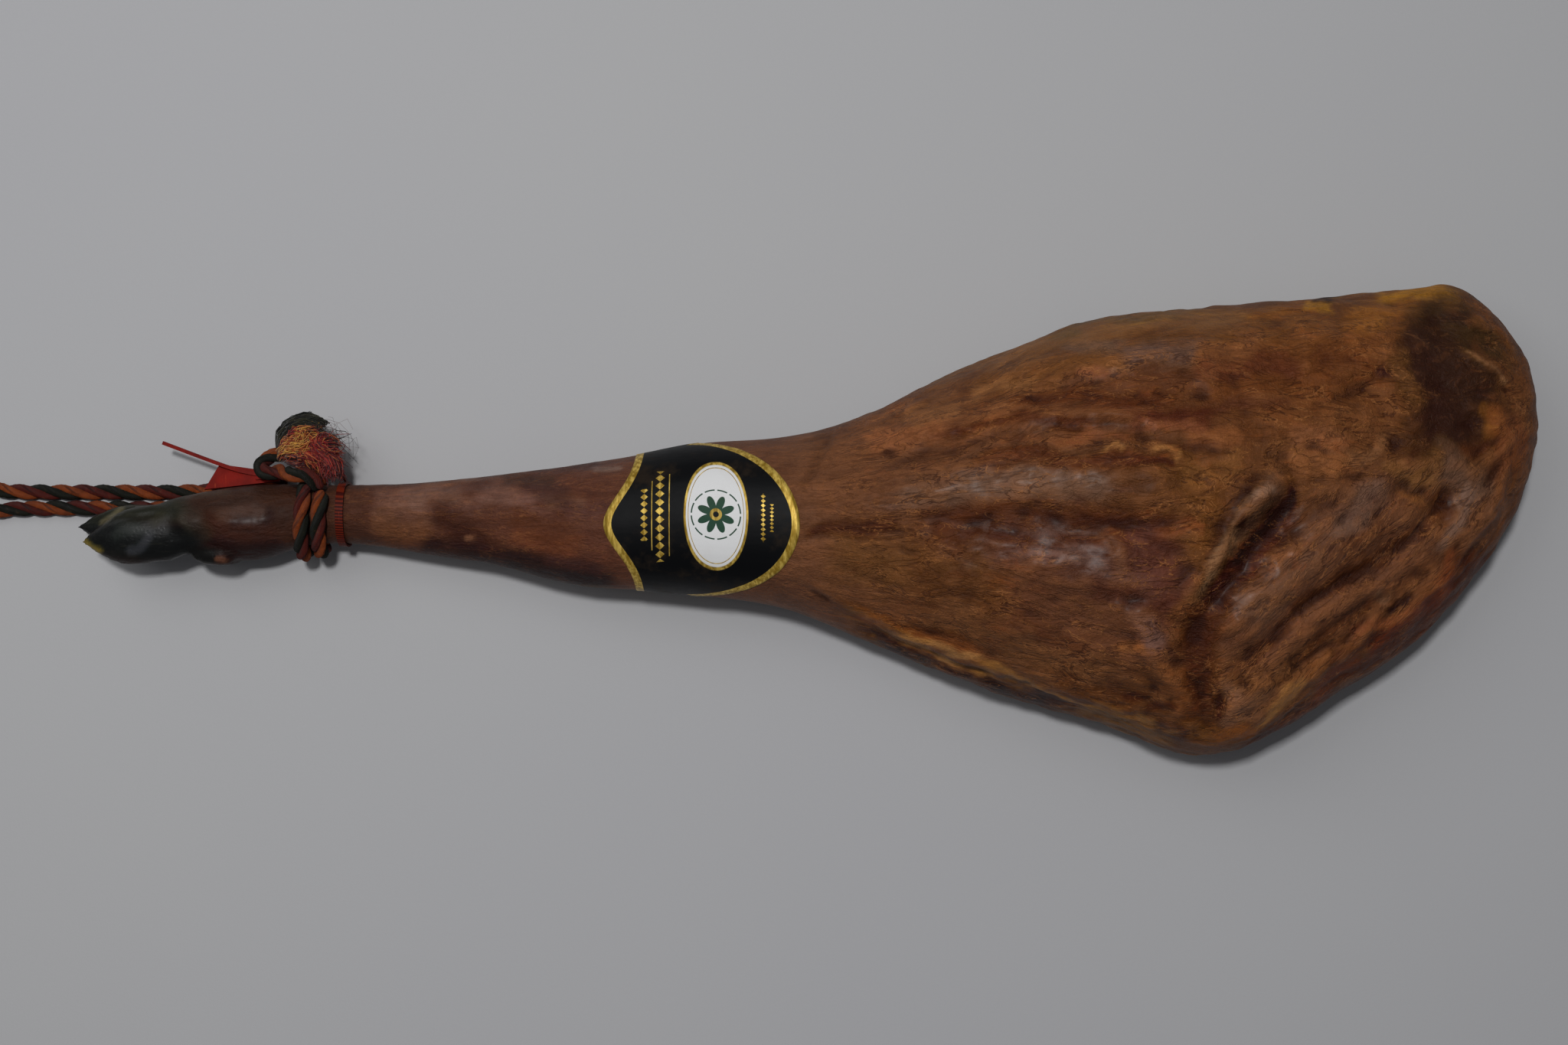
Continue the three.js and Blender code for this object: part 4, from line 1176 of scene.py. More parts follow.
class MeatFinish:
    """Cured lean and fat: painted colour with painted shade in the hollows and painted highlight on the
    ridges, fibres along the flow, and a waxy, oily shine.
    """

    def material(self) -> bpy.types.Material:
        """Builds the finish from the leg's paint, masks, traits and flows.

        Returns:
            The finish.
        """
        sheet = NodeSheet("cured_meat")
        paint = sheet.attribute("paint", "Color")
        fat, horn, bone = sheet.axes(sheet.attribute("masks"))
        relief_shading, shine, lean = sheet.axes(sheet.attribute("traits"))
        flow = sheet.attribute("flow")
        place = sheet.place()
        fibres = self.both_ways(sheet, (44, 130, 90), 5, 0.68, 1.1)
        threads = self.both_ways(sheet, (160, 800, 500), 3, 0.65, 0.4)
        clouds = sheet.noise(sheet.scaled(flow, (26, 56, 56)), 1.0, 6, 0.68, 0.9)
        lumps = sheet.noise(sheet.scaled(flow, (100, 170, 150)), 1.0, 4, 0.62, 0.7)
        folds = self.both_ways(sheet, (24, 88, 80), 4, 0.62, 1.1)
        veins = self.both_ways(sheet, (44, 120, 110), 4, 0.6, 1.4)
        grains = sheet.noise(place, 480, 5, 0.75)
        pores = sheet.cells(place, 420)
        soft = 1 - horn
        crease, vein = folds.line(0.035) * lean, veins.line(0.03) * lean
        patches = sheet.noise(place, 17, 4, 0.6, 0.6)
        drawn_out = patches.rise(0.44, 0.60) * 0.9 + 0.25
        tone = clouds.swing(1.2) * fibres.swing(lean * drawn_out) * grains.swing(0.7) * threads.swing(0.3)
        tone = tone * lumps.swing(0.5) * patches.swing(0.5)
        streaks = sheet.noise(sheet.scaled(flow, (40, 300, 300)), 1.0, 4, 0.65, 0.4)
        colour = sheet.layered(
            sheet.shaded(paint, tone),
            (fibres.rise(0.54, 0.70) * lean * drawn_out * 0.34, (122, 66, 36)),
            (lumps.rise(0.58, 0.70) * lean * 0.26, (124, 76, 46)),
            (clouds.rise(0.46, 0.28) * lean * 0.36, (58, 28, 14)),
            (lumps.rise(0.42, 0.30) * lean * 0.12, (50, 26, 14)),
            (crease * clouds.rise(0.40, 0.58) * 0.65, (42, 21, 10)),
            (vein * clouds.rise(0.42, 0.60) * 0.52, (144, 94, 56)),
            # painted shade darkens the hollows, and a painted highlight lightens the ridges, by how the
            # relief bends
            (relief_shading.rise(0.1, 1.0) * soft * 0.7, (40, 19, 9)),
            (relief_shading.rise(-0.15, -1.1) * lean * 0.28, (132, 84, 52)),
            (fat * clouds.rise(0.48, 0.64) * 0.26, (144, 98, 42)),
            (horn * streaks.rise(0.55, 0.72) * 0.20, (56, 54, 46)),
        )
        height = fibres * (0.15 + 0.5 * lean) + threads * 0.08 + clouds * 0.7 + lumps * 0.85 + grains * 0.32
        height = height + vein * 0.14 - crease * 0.22
        relief = sheet.bump(height * soft + (streaks * 0.04 + lumps * 0.12) * horn, 0.0028, 0.66)
        relief = sheet.bump(pores.rise(0.1, 0.55) * (0.3 + 0.7 * bone), 0.0005, 0.5, relief)
        rough = 0.54 - 0.06 * shine + 0.26 * (grains - 0.5) + 0.06 * fat + 0.06 * bone - 0.16 * horn
        coat = (0.03 + 0.18 * shine) * lumps.rise(0.30, 0.62) * soft + 0.20 * horn
        return sheet.finish(
            Base_Color=colour,
            Roughness=rough.most(0.30).least(0.8),
            Coat_Weight=coat,
            Coat_Roughness=0.33,
            Specular_IOR_Level=0.17,
            Normal=relief,
        )

    @staticmethod
    def both_ways(
        sheet: NodeSheet, scale: tuple[float, float, float], detail: float, rough: float, warp: float
    ) -> Wire:
        """Noise drawn out along the fibres, which turn on the lobe.

        Args:
            sheet: The finish's nodes.
            scale: The noise's fineness along, across and through the fibres, per metre.
            detail: Its octaves.
            rough: How strong the fine octaves are.
            warp: How far it is bent.

        Returns:
            The noise.
        """
        lobe = sheet.attribute("lobe", "Fac")
        plain = sheet.noise(sheet.scaled(sheet.attribute("flow"), scale), 1.0, detail, rough, warp)
        slant = sheet.noise(sheet.scaled(sheet.attribute("slant"), scale), 1.0, detail, rough, warp)
        return plain + (slant - plain) * lobe


@dataclass
class Leg:
    """The ham itself: shank, trotter, lean, fat, aitch bone and skin.

    Args:
        grain: Breadth of the mesh's faces, in mm.
        ground: The lowest that the modelled underside goes, in metres.
        lobe_turn: How far the lobe's fibres turn from the leg's length, in degrees.
    """

    grain: float = 2.1
    ground: float = 0.00006
    lobe_turn: float = 41.0

    def build(self) -> bpy.types.Object:
        """Builds the leg.

        Returns:
            The leg.
        """
        solid = bpy.data.objects["ham"]
        leg = solid.copy()
        leg.data = solid.data.copy()
        bpy.context.collection.objects.link(leg)
        leg.animation_data_clear()
        only(leg)
        bpy.ops.object.mode_set(mode="EDIT")
        bpy.ops.mesh.select_all(action="SELECT")
        bpy.ops.mesh.remove_doubles(threshold=0.00005)
        bpy.ops.object.mode_set(mode="OBJECT")
        apply_modifier(leg, "REMESH", mode="VOXEL", voxel_size=self.grain * MM)
        self._soften(leg)
        self._model(leg)
        self._paint(leg)
        leg.data.shade_smooth()
        return settle(leg, "cured_leg", MeatFinish().material(), "ham")

    def _soften(self, leg: bpy.types.Object) -> None:
        """Takes off the solid's facets, less so at the trotter.

        Args:
            leg: The leg.
        """
        start = points_of(leg)
        far = neighbours_mean(leg, start, 16)
        near = neighbours_mean(leg, start, 4)
        share = step_between(-345, -300, start[:, 0] / MM)[:, None]
        mixed = near * (1 - share) + far * share
        flat = start[:, 2] < 0.6 * MM
        mixed[flat, 2] = start[flat, 2]
        mixed[:, 2] = np.maximum(mixed[:, 2], self.ground)
        set_points(leg, mixed)

    def _model(self, leg: bpy.types.Object) -> None:
        """Models the relief: strokes on the upper side, then fibres, folds and wrinkles.

        Args:
            leg: The leg.
        """
        points = points_of(leg) / MM
        normals = normals_of(leg)
        wind = Turbulence(4)
        upper = step_between(-0.15, 0.45, normals[:, 2])
        wander = np.stack([wind.at(points, 26, 2), wind.at(points + 311, 26, 2)], 1)
        flat = drawn(points) + 2.6 * wander * step_between(0, 60, points[:, 0])[:, None]
        flat += 1.1 * np.stack([wind.at(points + 40, 6, 2), wind.at(points + 90, 6, 2)], 1)
        rise = np.zeros(len(points))
        for row in STROKES:
            stroke = Stroke(*row)
            rise += (0.95 if stroke.width > 6 else 0.6) * stroke.lift(flat)
        x = points[:, 0]
        body = step_between(5, 70, x)
        lobe = self.lobe(points)
        lean = body * (1 - lobe)
        shank = step_between(-262, -240, x) * (1 - body)
        foot = 1 - step_between(-300, -285, x)
        plain, slanted = self.flows_of(points)
        for where, height, at, step, octaves in (
            (lean, 1.05, plain, (90, 15, 30), 2),
            (lean, 0.42, plain + 7, (38, 6.5, 20), 2),
            (lobe, 0.95, slanted + 50, (52, 8, 16), 2),
            (lobe, 0.50, slanted + 90, (26, 4.5, 9), 1),
            (body, 0.55, points, 11, 2),
            (body, 0.16, plain + 33, (11, 5.6, 7), 1),
            (shank, 0.55, points + 5, (55, 13, 13), 2),
            (shank, 0.30, points + 9, (18, 6, 6), 2),
            (foot, 0.35, points + 21, (10, 6, 6), 2),
        ):
            rise += where * height * wind.at(at, step, octaves)
        for where, height, at, step, width in (
            (lean, -0.7, plain + 61, (70, 15, 20), 0.11),
            (lean, 0.4, plain + 77, (44, 11, 15), 0.10),
            (lobe, -0.7, slanted + 81, (50, 12, 18), 0.11),
        ):
            rise += where * height * np.exp(-np.abs(wind.at(at, step, 2)) / width)
        lapped = step_between(-121, -113, x) * (1 - step_between(3, 12, x))
        bound = step_between(-312, -302, x) * (1 - step_between(-266, -258, x))
        hold = (1 - 0.75 * lapped) * (1 - 0.9 * bound)
        around = body * (1.5 * wind.at(points + 13, (26, 24, 18), 2) + 0.9 * wind.at(points + 19, 12, 2))
        around += 0.35 * (1 - upper) * wind.at(points, 9, 2)
        moved = (rise * upper + around * (1 - 0.6 * upper)) * hold
        way = normals * (1 - 0.35 * upper[:, None])
        way[:, 2] += 0.35 * upper
        new = points + way * moved[:, None]
        low, high = (np.array(corner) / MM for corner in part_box("ham"))
        new = np.clip(new, low - [2.5, 3.0, 0], high + [2.5, 3.0, 4.0])
        resting = points[:, 2] < 0.7
        new[resting, 2] = points[resting, 2]
        new[:, 2] = np.maximum(new[:, 2], self.ground / MM)
        set_points(leg, new * MM)

    @staticmethod
    def lobe(points: np.ndarray) -> np.ndarray:
        """Tells the fibrous lobe beyond the groove from the rest.

        Args:
            points: Points of the leg, in mm.

        Returns:
            1 on the lobe, 0 elsewhere.
        """
        border = (420, 66, 398, 52, 366, 40, 338, 30, 312, 24, *GROOVE)
        gap, side, _ = nearest(rounded(border), drawn(points))
        inside = (side > 0) & (points[:, 0] > 225)
        return np.where(inside, step_between(0, 12, gap), 0)

    def flows_of(self, points: np.ndarray) -> tuple[np.ndarray, np.ndarray]:
        """Where each point lies along and across the fibres.

        Args:
            points: Points of the leg, in mm.

        Returns:
            Their places by the lean's fibres, and by the lobe's, in mm.
        """
        x, y, z = points.T
        spread = np.interp(x, [-440, 0, 60, 140, 220, 330, 440], [1.7, 1.5, 1.25, 1.0, 0.9, 0.86, 0.86])
        plain = np.stack([x, y * spread, z], 1)
        turn = math.radians(self.lobe_turn)
        across = -x * math.sin(turn) + y * math.cos(turn)
        slanted = np.stack([x * math.cos(turn) + y * math.sin(turn), across + 300, z], 1)
        return plain, slanted

    @staticmethod
    def covered(paths: tuple, points: np.ndarray) -> np.ndarray:
        """How much each point is covered by paths.

        Args:
            paths: Pairs of a path and half its breadth, in mm.
            points: x and y of the points.

        Returns:
            0 to 1 for each point.
        """
        total = np.zeros(len(points))
        for path, width in paths:
            total = np.maximum(total, Dab(path, width, (0, 0, 0), 1.0).cover(points))
        return total

    def _paint(self, leg: bpy.types.Object) -> None:
        """Paints the colour, and keeps the masks that the finish reads.

        Args:
            leg: The leg.
        """
        points = points_of(leg) / MM
        normals = normals_of(leg)
        wind = Turbulence(9)
        x = points[:, 0]
        upper = step_between(-0.35, 0.25, normals[:, 2])
        wander = np.stack([wind.at(points, 22, 3), wind.at(points + 200, 22, 3)], 1)
        flat = drawn(points) + 4.2 * wander * step_between(-60, 60, x)[:, None] + 1.5 * wander
        stops, *tones = zip(*GROUND_TONES)
        colour = np.stack([np.interp(x, stops, tone) for tone in tones], 1)
        skin = np.array([70, 45, 26.0]) * (1 + 0.12 * wind.at(points, 40, 3))[:, None]
        skin = np.where((x < -300)[:, None], colour, skin)
        amber = np.array([100, 68, 32.0]) * (1 + 0.12 * wind.at(points + 70, 26, 3))[:, None]
        greasy = (step_between(-0.2, 0.5, wind.at(points + 30, 55, 3)) * step_between(40, 110, x))[:, None]
        skin = skin * (1 - 0.55 * greasy) + amber * 0.55 * greasy
        painted = colour
        for row in DABS:
            dab = Dab(*row)
            cover = dab.cover(flat)[:, None]
            painted = painted * (1 - cover) + np.array(dab.colour, float) * cover
        under = (1 - upper)[:, None] * step_between(-330, -290, x)[:, None]
        painted = painted * (1 - under) + skin * under
        linear = ((np.clip(painted, 3, 255) / 255 + 0.055) / 1.055) ** 2.4
        linear = np.maximum(linear - VEIL, 0.3 * linear) * GAIN
        set_attribute(leg, "paint", linear)
        body = step_between(-5, 60, x)
        fat = np.maximum(self.covered(FAT, flat), 0.35 * (1 - upper) * body)
        horn = self.covered(HORN, drawn(points) + 0.8 * wander)
        bone = self.covered(((AITCH_BONE, 6.0),), flat) * upper
        set_attribute(leg, "masks", np.stack([fat, horn, bone], 1))
        # how far each point lies in a hollow or on a ridge; the finish turns this into painted shade and
        # painted highlight
        bend = np.einsum("ij,ij->i", neighbours_mean(leg, points, 9) - points, normals)
        bend -= neighbours_mean(leg, bend, 16) * 0.5
        relief_shading = np.clip(bend / 0.42, -1.5, 1.5)
        shine = np.clip(self.covered(SHINY, flat) + 0.25 * (wind.at(points, 30, 3) > 0.25), 0, 1)
        lean = np.clip(upper * (0.38 + 0.62 * body) * (1 - horn) * (1 - 0.6 * fat), 0, 1)
        lean *= 0.1 + 0.9 * step_between(-300, -240, x)
        lean *= 1 - 0.65 * self.covered((DARK_PATCH,), flat)
        relief_shading, shine = neighbours_mean(leg, relief_shading, 3), neighbours_mean(leg, shine, 4)
        set_attribute(leg, "traits", np.stack([relief_shading, shine, lean], 1))
        plain, slanted = self.flows_of(points)
        set_attribute(leg, "flow", plain * MM)
        set_attribute(leg, "slant", slanted * MM)
        set_attribute(leg, "lobe", self.lobe(points))


# ---- The paper band ----


@dataclass(frozen=True)
class LabelFinish:
    """Black glossy paper with a gilt edge, an oval with a plain rosette, and rows of gilt lozenges.

    Args:
        ink: The black ground, as it shows, 0 to 255.
        cream: The oval.
        leaf: The rosette and its wreath.
        middle: The oval's middle, in mm along the leg and round it.
        rows: Each row of lozenges: x and arc of its middle, a lozenge's size, and half the row's length.
        rules: Each thin line: its x, and half its length.
    """

    ink: tuple[int, int, int] = (15, 16, 19)
    cream: tuple[int, int, int] = (196, 196, 190)
    leaf: tuple[int, int, int] = (40, 62, 50)
    middle: tuple[float, float] = (-46.5, 3.0)
    rows: tuple = (
        (-87.6, 4.0, 4.5, 15.0), (-78.6, 3.0, 5.5, 27.0), (-19.7, 2.5, 3.0, 14.0), (-14.8, 2.5, 2.4, 8.0),
    )
    rules: tuple = ((-83.2, 20.0), (-73.2, 24.0))

    def material(self) -> bpy.types.Material:
        """Builds the finish; the attribute print holds mm along, mm round, and mm from the edge.

        Returns:
            The finish.
        """
        sheet = NodeSheet("gilt_label_paper")
        x, arc, edge = sheet.axes(sheet.attribute("print"))
        place = sheet.place()
        border = edge.rise(4.7, 4.4)
        along, round_ = x - self.middle[0], arc - self.middle[1]
        across, up = along / 18.6, round_ / 34.0
        oval = (across * across + up * up) ** 0.5
        inside = oval.rise(0.93, 0.91)
        ring = oval.rise(1.0, 0.98) - inside
        line = (oval - 0.85).size().rise(0.012, 0.006)
        reach = (along * along + round_ * round_) ** 0.5
        turn = round_.turn_from(along)
        petals = (turn * 4).sine().size() * 6.0 + 5.0
        rosette = (petals - reach).rise(-0.2, 0.2)
        leaves = (turn * 6).sine().size() * 3.0
        wreath = (reach - 14.0).size().rise(0.5, 0.3) * leaves.rise(0.8, 1.1)
        gold = border.most(ring)
        for row_x, row_arc, size, half in self.rows:
            gold = gold.most(self.lozenges(x - row_x, arc - row_arc, size, half))
        for rule_x, half in self.rules:
            gold = gold.most((x - rule_x).size().rise(0.35, 0.2) * (arc - 3.5).size().rise(half + 0.2, half))
        gold = gold.least(1.0)
        foil = sheet.noise(sheet.scaled(place, (500, 90, 500)), 1.0, 3, 0.6)
        creases = sheet.noise(place, 160, 3, 0.6)
        gilt = sheet.mix(foil.rise(0.35, 0.7), seen(118, 94, 38), seen(178, 152, 78))
        colour = sheet.mix(gold, seen(*self.ink), gilt)
        colour = sheet.layered(colour, (inside, self.cream))
        colour = sheet.mix(line * inside, colour, gilt)
        colour = sheet.layered(colour, ((rosette + wreath).least(1.0) * inside, self.leaf))
        colour = sheet.mix(reach.rise(3.6, 3.3) * inside, colour, gilt)
        grease = sheet.noise(place, 55, 4, 0.65).rise(0.5, 0.72)
        eye = reach.rise(1.8, 1.5) * inside
        colour = sheet.layered(colour, (eye, self.ink), (grease * 0.05, (120, 96, 70)))
        flat = sheet.bump(gold * (0.5 + 0.5 * foil) + creases * 0.35, 0.00016, 0.6)
        waves = sheet.noise(sheet.scaled(place, (24, 60, 60)), 1.0, 3, 0.5)
        return sheet.finish(
            Base_Color=colour,
            Metallic=gold * (1 - inside) * 0.3,
            Roughness=0.46 + 0.14 * creases - 0.12 * gold + 0.1 * grease,
            Coat_Weight=0.02 + 0.03 * (1 - grease),
            Coat_Roughness=0.15,
            Specular_IOR_Level=0.12,
            Normal=sheet.bump(waves, 0.0011, 0.5, flat),
        )

    @staticmethod
    def lozenges(across: Wire, along: Wire, size: float, half: float) -> Wire:
        """A row of lozenges round the band.

        Args:
            across: Distance from the row's middle, in mm.
            along: Distance along the row from its middle.
            size: A lozenge's length across the row.
            half: Half the row's length.

        Returns:
            1 on the lozenges.
        """
        step = size * 0.9
        cell = ((along / step).fraction() - 0.5).size() * 2.0 * step / size
        shape = cell * 1.15 + across.size() * (2.0 / size)
        return shape.rise(1.0, 0.9) * along.size().rise(half, half - 0.2)


SHANK_RADIUS = 44.0  # about how far the band is from the leg's middle, in mm


@dataclass
class Label:
    """The paper band round the shank, with a lobe towards the hoof and a wide one towards the rump.

    Args:
        strip: From where to where along the leg its narrow part runs, in mm.
        hoof_lobe: How far its hoof side stands out on top, in mm.
        rump_lobe: How far its rump side stands out on top, in mm.
        around: Its faces round the leg.
        along: Its faces along the leg.
        clear: How far it stands off the leg, in mm.
        paper: The paper's thickness, in mm.
        overlap: How far its ends overlap underneath, in degrees.
    """

    strip: tuple[float, float] = (-94.1, -58.1)
    hoof_lobe: float = 17.0
    rump_lobe: float = 59.0
    around: int = 216
    along: int = 46
    clear: float = 0.42
    paper: float = 0.16
    overlap: float = 8.0

    def build(self, ground: Ground) -> bpy.types.Object:
        """Builds the band.

        Args:
            ground: The leg's surface.

        Returns:
            The band.
        """
        bpy.ops.object.select_all(action="DESELECT")
        bpy.ops.mesh.primitive_grid_add(x_subdivisions=self.along, y_subdivisions=self.around, size=1.0)
        band = bpy.context.object
        grid = points_of(band)
        share, turn = grid[:, 0] + 0.5, grid[:, 1] + 0.5
        degrees = self._degrees(turn)
        facing = np.maximum(0, np.sin(np.radians(degrees)))
        low = self.strip[0] - self.hoof_lobe * facing**4
        high = self.strip[1] + self.rump_lobe * facing**0.9
        x = low + (high - low) * share
        out, centre = np.empty((2, len(grid), 3))
        radius = np.empty(len(grid))
        for i, (along, angle) in enumerate(zip(x, degrees)):
            way, middle = way_round(angle), ground.middle(along)
            hit = ground.out_from(middle, way, self.clear * MM)
            radius[i] = (hit - middle).length
            out[i], centre[i] = way, middle
        order = np.lexsort((share, turn))
        table = radius[order].reshape(self.around + 1, self.along + 1)
        for _ in range(10):
            even = (np.roll(table, 1, 0) + table + np.roll(table, -1, 0)) / 3
            even[0], even[-1] = table[0], table[-1]
            even[:, 1:-1] = (even[:, :-2] + even[:, 1:-1] + even[:, 2:]) / 3
            table = np.maximum(table, even)
        lifted = 0.5 * MM * step_between(360 - self.overlap, 360, (360 + self.overlap) * turn[order])
        radius[order] = table.ravel() + lifted
        points = centre + out * radius[:, None]
        set_points(band, points)
        arc = self._arc(points[order], turn[order])
        slope = np.hypot(1.0, self._slope(degrees, x - low < high - x))
        edge = np.minimum(x - low, high - x) / slope
        printed = np.empty((len(grid), 3))
        printed[:, 0], printed[:, 2] = x, edge
        printed[order, 1] = arc
        set_attribute(band, "print", printed)
        if np.einsum("ij,ij->i", normals_of(band), out).mean() < 0:
            band.data.flip_normals()
        apply_modifier(band, "SOLIDIFY", thickness=self.paper * MM, offset=1.0)
        band.data.shade_smooth()
        settle(band, "label_paper_band", LabelFinish().material(), "label_band")
        return band

    def _degrees(self, turn: np.ndarray) -> np.ndarray:
        """The angle round the leg at each share of the way round the band."""
        return -90 - self.overlap / 2 + (360 + self.overlap) * turn

    def _arc(self, points: np.ndarray, turn: np.ndarray) -> np.ndarray:
        """How far round the band each point is from the top.

        Args:
            points: The points in order, row by row round the leg, in metres.
            turn: Each point's share of the way round.

        Returns:
            The distances, in mm.
        """
        rows = points.reshape(self.around + 1, self.along + 1, 3)
        steps = np.linalg.norm(np.diff(rows[:, :, 1:], axis=0), axis=2)
        run = np.concatenate([np.zeros((1, self.along + 1)), np.cumsum(steps, 0)])
        degrees = self._degrees(turn.reshape(run.shape)[:, 0])
        top = np.array([np.interp(90, degrees, run[:, j]) for j in range(run.shape[1])])
        return ((top[None, :] - run) / MM).ravel()

    def _slope(self, degrees: np.ndarray, hoofward: np.ndarray) -> np.ndarray:
        """How steeply the nearer edge runs along the leg.

        Args:
            degrees: Each point's angle round the leg.
            hoofward: Whether the hoof side's edge is the nearer one.

        Returns:
            The slopes, in mm along to mm round.
        """
        sine, cosine = np.sin(np.radians(degrees)), np.cos(np.radians(degrees))
        up = np.maximum(sine, 0.02)
        hoof = self.hoof_lobe * 4 * up**3 * cosine
        rump = self.rump_lobe * 0.9 * up**-0.1 * cosine
        return np.where(sine > 0, np.where(hoofward, hoof, rump), 0) / SHANK_RADIUS


# ---- The rope ----


@dataclass(frozen=True)
class Dye:
    """The colour of one strand.

    Args:
        dark: Its darker fibres, 0 to 255.
        light: Its lighter fibres.
    """

    dark: tuple[int, int, int]
    light: tuple[int, int, int]


STRAND_DYES = (
    Dye((14, 16, 14), (42, 42, 34)),
    Dye((96, 42, 20), (160, 82, 42)),
    Dye((54, 20, 20), (104, 44, 36)),
)


class RopeFinish:
    """Worn dyed rope: matt twisted yarns with paler broken fibres."""

    def material(self) -> bpy.types.Material:
        """Builds the finish; yarn holds mm along and round a strand, and the strand's number.

        Returns:
            The finish.
        """
        sheet = NodeSheet("dyed_rope")
        dark = sheet.attribute("dye_dark", "Color")
        light = sheet.attribute("dye_light", "Color")
        along, around, _ = sheet.axes(sheet.attribute("yarn"))
        place = sheet.place()
        slant = around - along * 0.43 + sheet.noise(place, 300, 2) * 0.8
        yarns = (slant * (TAU / 0.85)).sine() * 0.5 + 0.5
        wear = sheet.noise(place, 260, 4, 0.65)
        hairs = sheet.noise(sheet.scaled(sheet.attribute("yarn"), (0.5, 9, 1)), 1.0, 3, 0.6)
        soil = sheet.noise(place, 90, 4, 0.7)
        share = (yarns * 0.5 + hairs * 0.8 + wear * 0.9 - 0.6).most(0.0).least(1.0)
        colour = sheet.layered(
            sheet.mix(share, dark, light),
            (wear.rise(0.60, 0.74) * 0.30, (116, 88, 60)),
            (soil.rise(0.50, 0.30) * 0.55, (34, 24, 20)),
        )
        relief = sheet.bump(yarns * 0.7 + hairs * 1.0 + wear * 0.8, 0.0010, 1.0)
        return sheet.finish(
            Base_Color=colour,
            Roughness=0.85 + 0.15 * (wear - 0.5),
            Specular_IOR_Level=0.12,
            Sheen_Weight=0.05,
            Normal=relief,
        )


THREE_STRANDS = 2.1547  # a rope's radius over the radius of one of three round strands in it


def even_line(points: np.ndarray, step: float) -> np.ndarray:
    """A centripetal curve through points, in steps of even length.

    Args:
        points: Rows of x, y, z.
        step: The step, in the points' unit.

    Returns:
        The curve's points.
    """
    p = np.vstack([2 * points[0] - points[1], points, 2 * points[-1] - points[-2]])
    line = []
    for i in range(1, len(p) - 2):
        a, b, c, d = p[i - 1 : i + 3]
        t0, t1 = 0.0, np.linalg.norm(b - a) ** 0.5
        t2 = t1 + np.linalg.norm(c - b) ** 0.5
        t3 = t2 + np.linalg.norm(d - c) ** 0.5
        for t in np.linspace(t1, t2, 24, endpoint=False):
            ab = a * (t1 - t) / (t1 - t0) + b * (t - t0) / (t1 - t0)
            bc = b * (t2 - t) / (t2 - t1) + c * (t - t1) / (t2 - t1)
            cd = c * (t3 - t) / (t3 - t2) + d * (t - t2) / (t3 - t2)
            abc = ab * (t2 - t) / (t2 - t0) + bc * (t - t0) / (t2 - t0)
            bcd = bc * (t3 - t) / (t3 - t1) + cd * (t - t1) / (t3 - t1)
            line.append(abc * (t2 - t) / (t2 - t1) + bcd * (t - t1) / (t2 - t1))
    line.append(p[-2])
    line = np.array(line)
    run = np.concatenate([[0], np.cumsum(np.linalg.norm(np.diff(line, axis=0), axis=1))])
    count = max(4, round(run[-1] / step))
    even = np.linspace(0, run[-1], count + 1)
    return np.stack([np.interp(even, run, line[:, axis]) for axis in range(3)], 1)


def carried_frame(line: np.ndarray) -> tuple[np.ndarray, np.ndarray, np.ndarray]:
    """A frame carried along a line without twisting.

    Args:
        line: The line's points.

    Returns:
        At each point, the way it runs and two directions across.
    """
    ways = np.gradient(line, axis=0)
    ways /= np.linalg.norm(ways, axis=1)[:, None]
    side = np.cross(ways[0], (0, 0, 1.0))
    if np.linalg.norm(side) < 0.1:
        side = np.cross(ways[0], (0, 1.0, 0))
    sides = np.empty_like(line)
    for i, way in enumerate(ways):
        side = side - way * (side @ way)
        side = side / np.linalg.norm(side)
        sides[i] = side
    return ways, sides, np.cross(ways, sides)


def tube_faces(rings: int, count: int) -> np.ndarray:
    """The faces of a tube whose points run ring by ring.

    Args:
        rings: How many rings.
        count: Points in a ring.

    Returns:
        Rows of four point numbers.
    """
    ring, spot = np.meshgrid(np.arange(rings - 1), np.arange(count), indexing="ij")
    a = ring * count + spot
    b = ring * count + (spot + 1) % count
    return np.stack([a, b, b + count, a + count], -1).reshape(-1, 4)


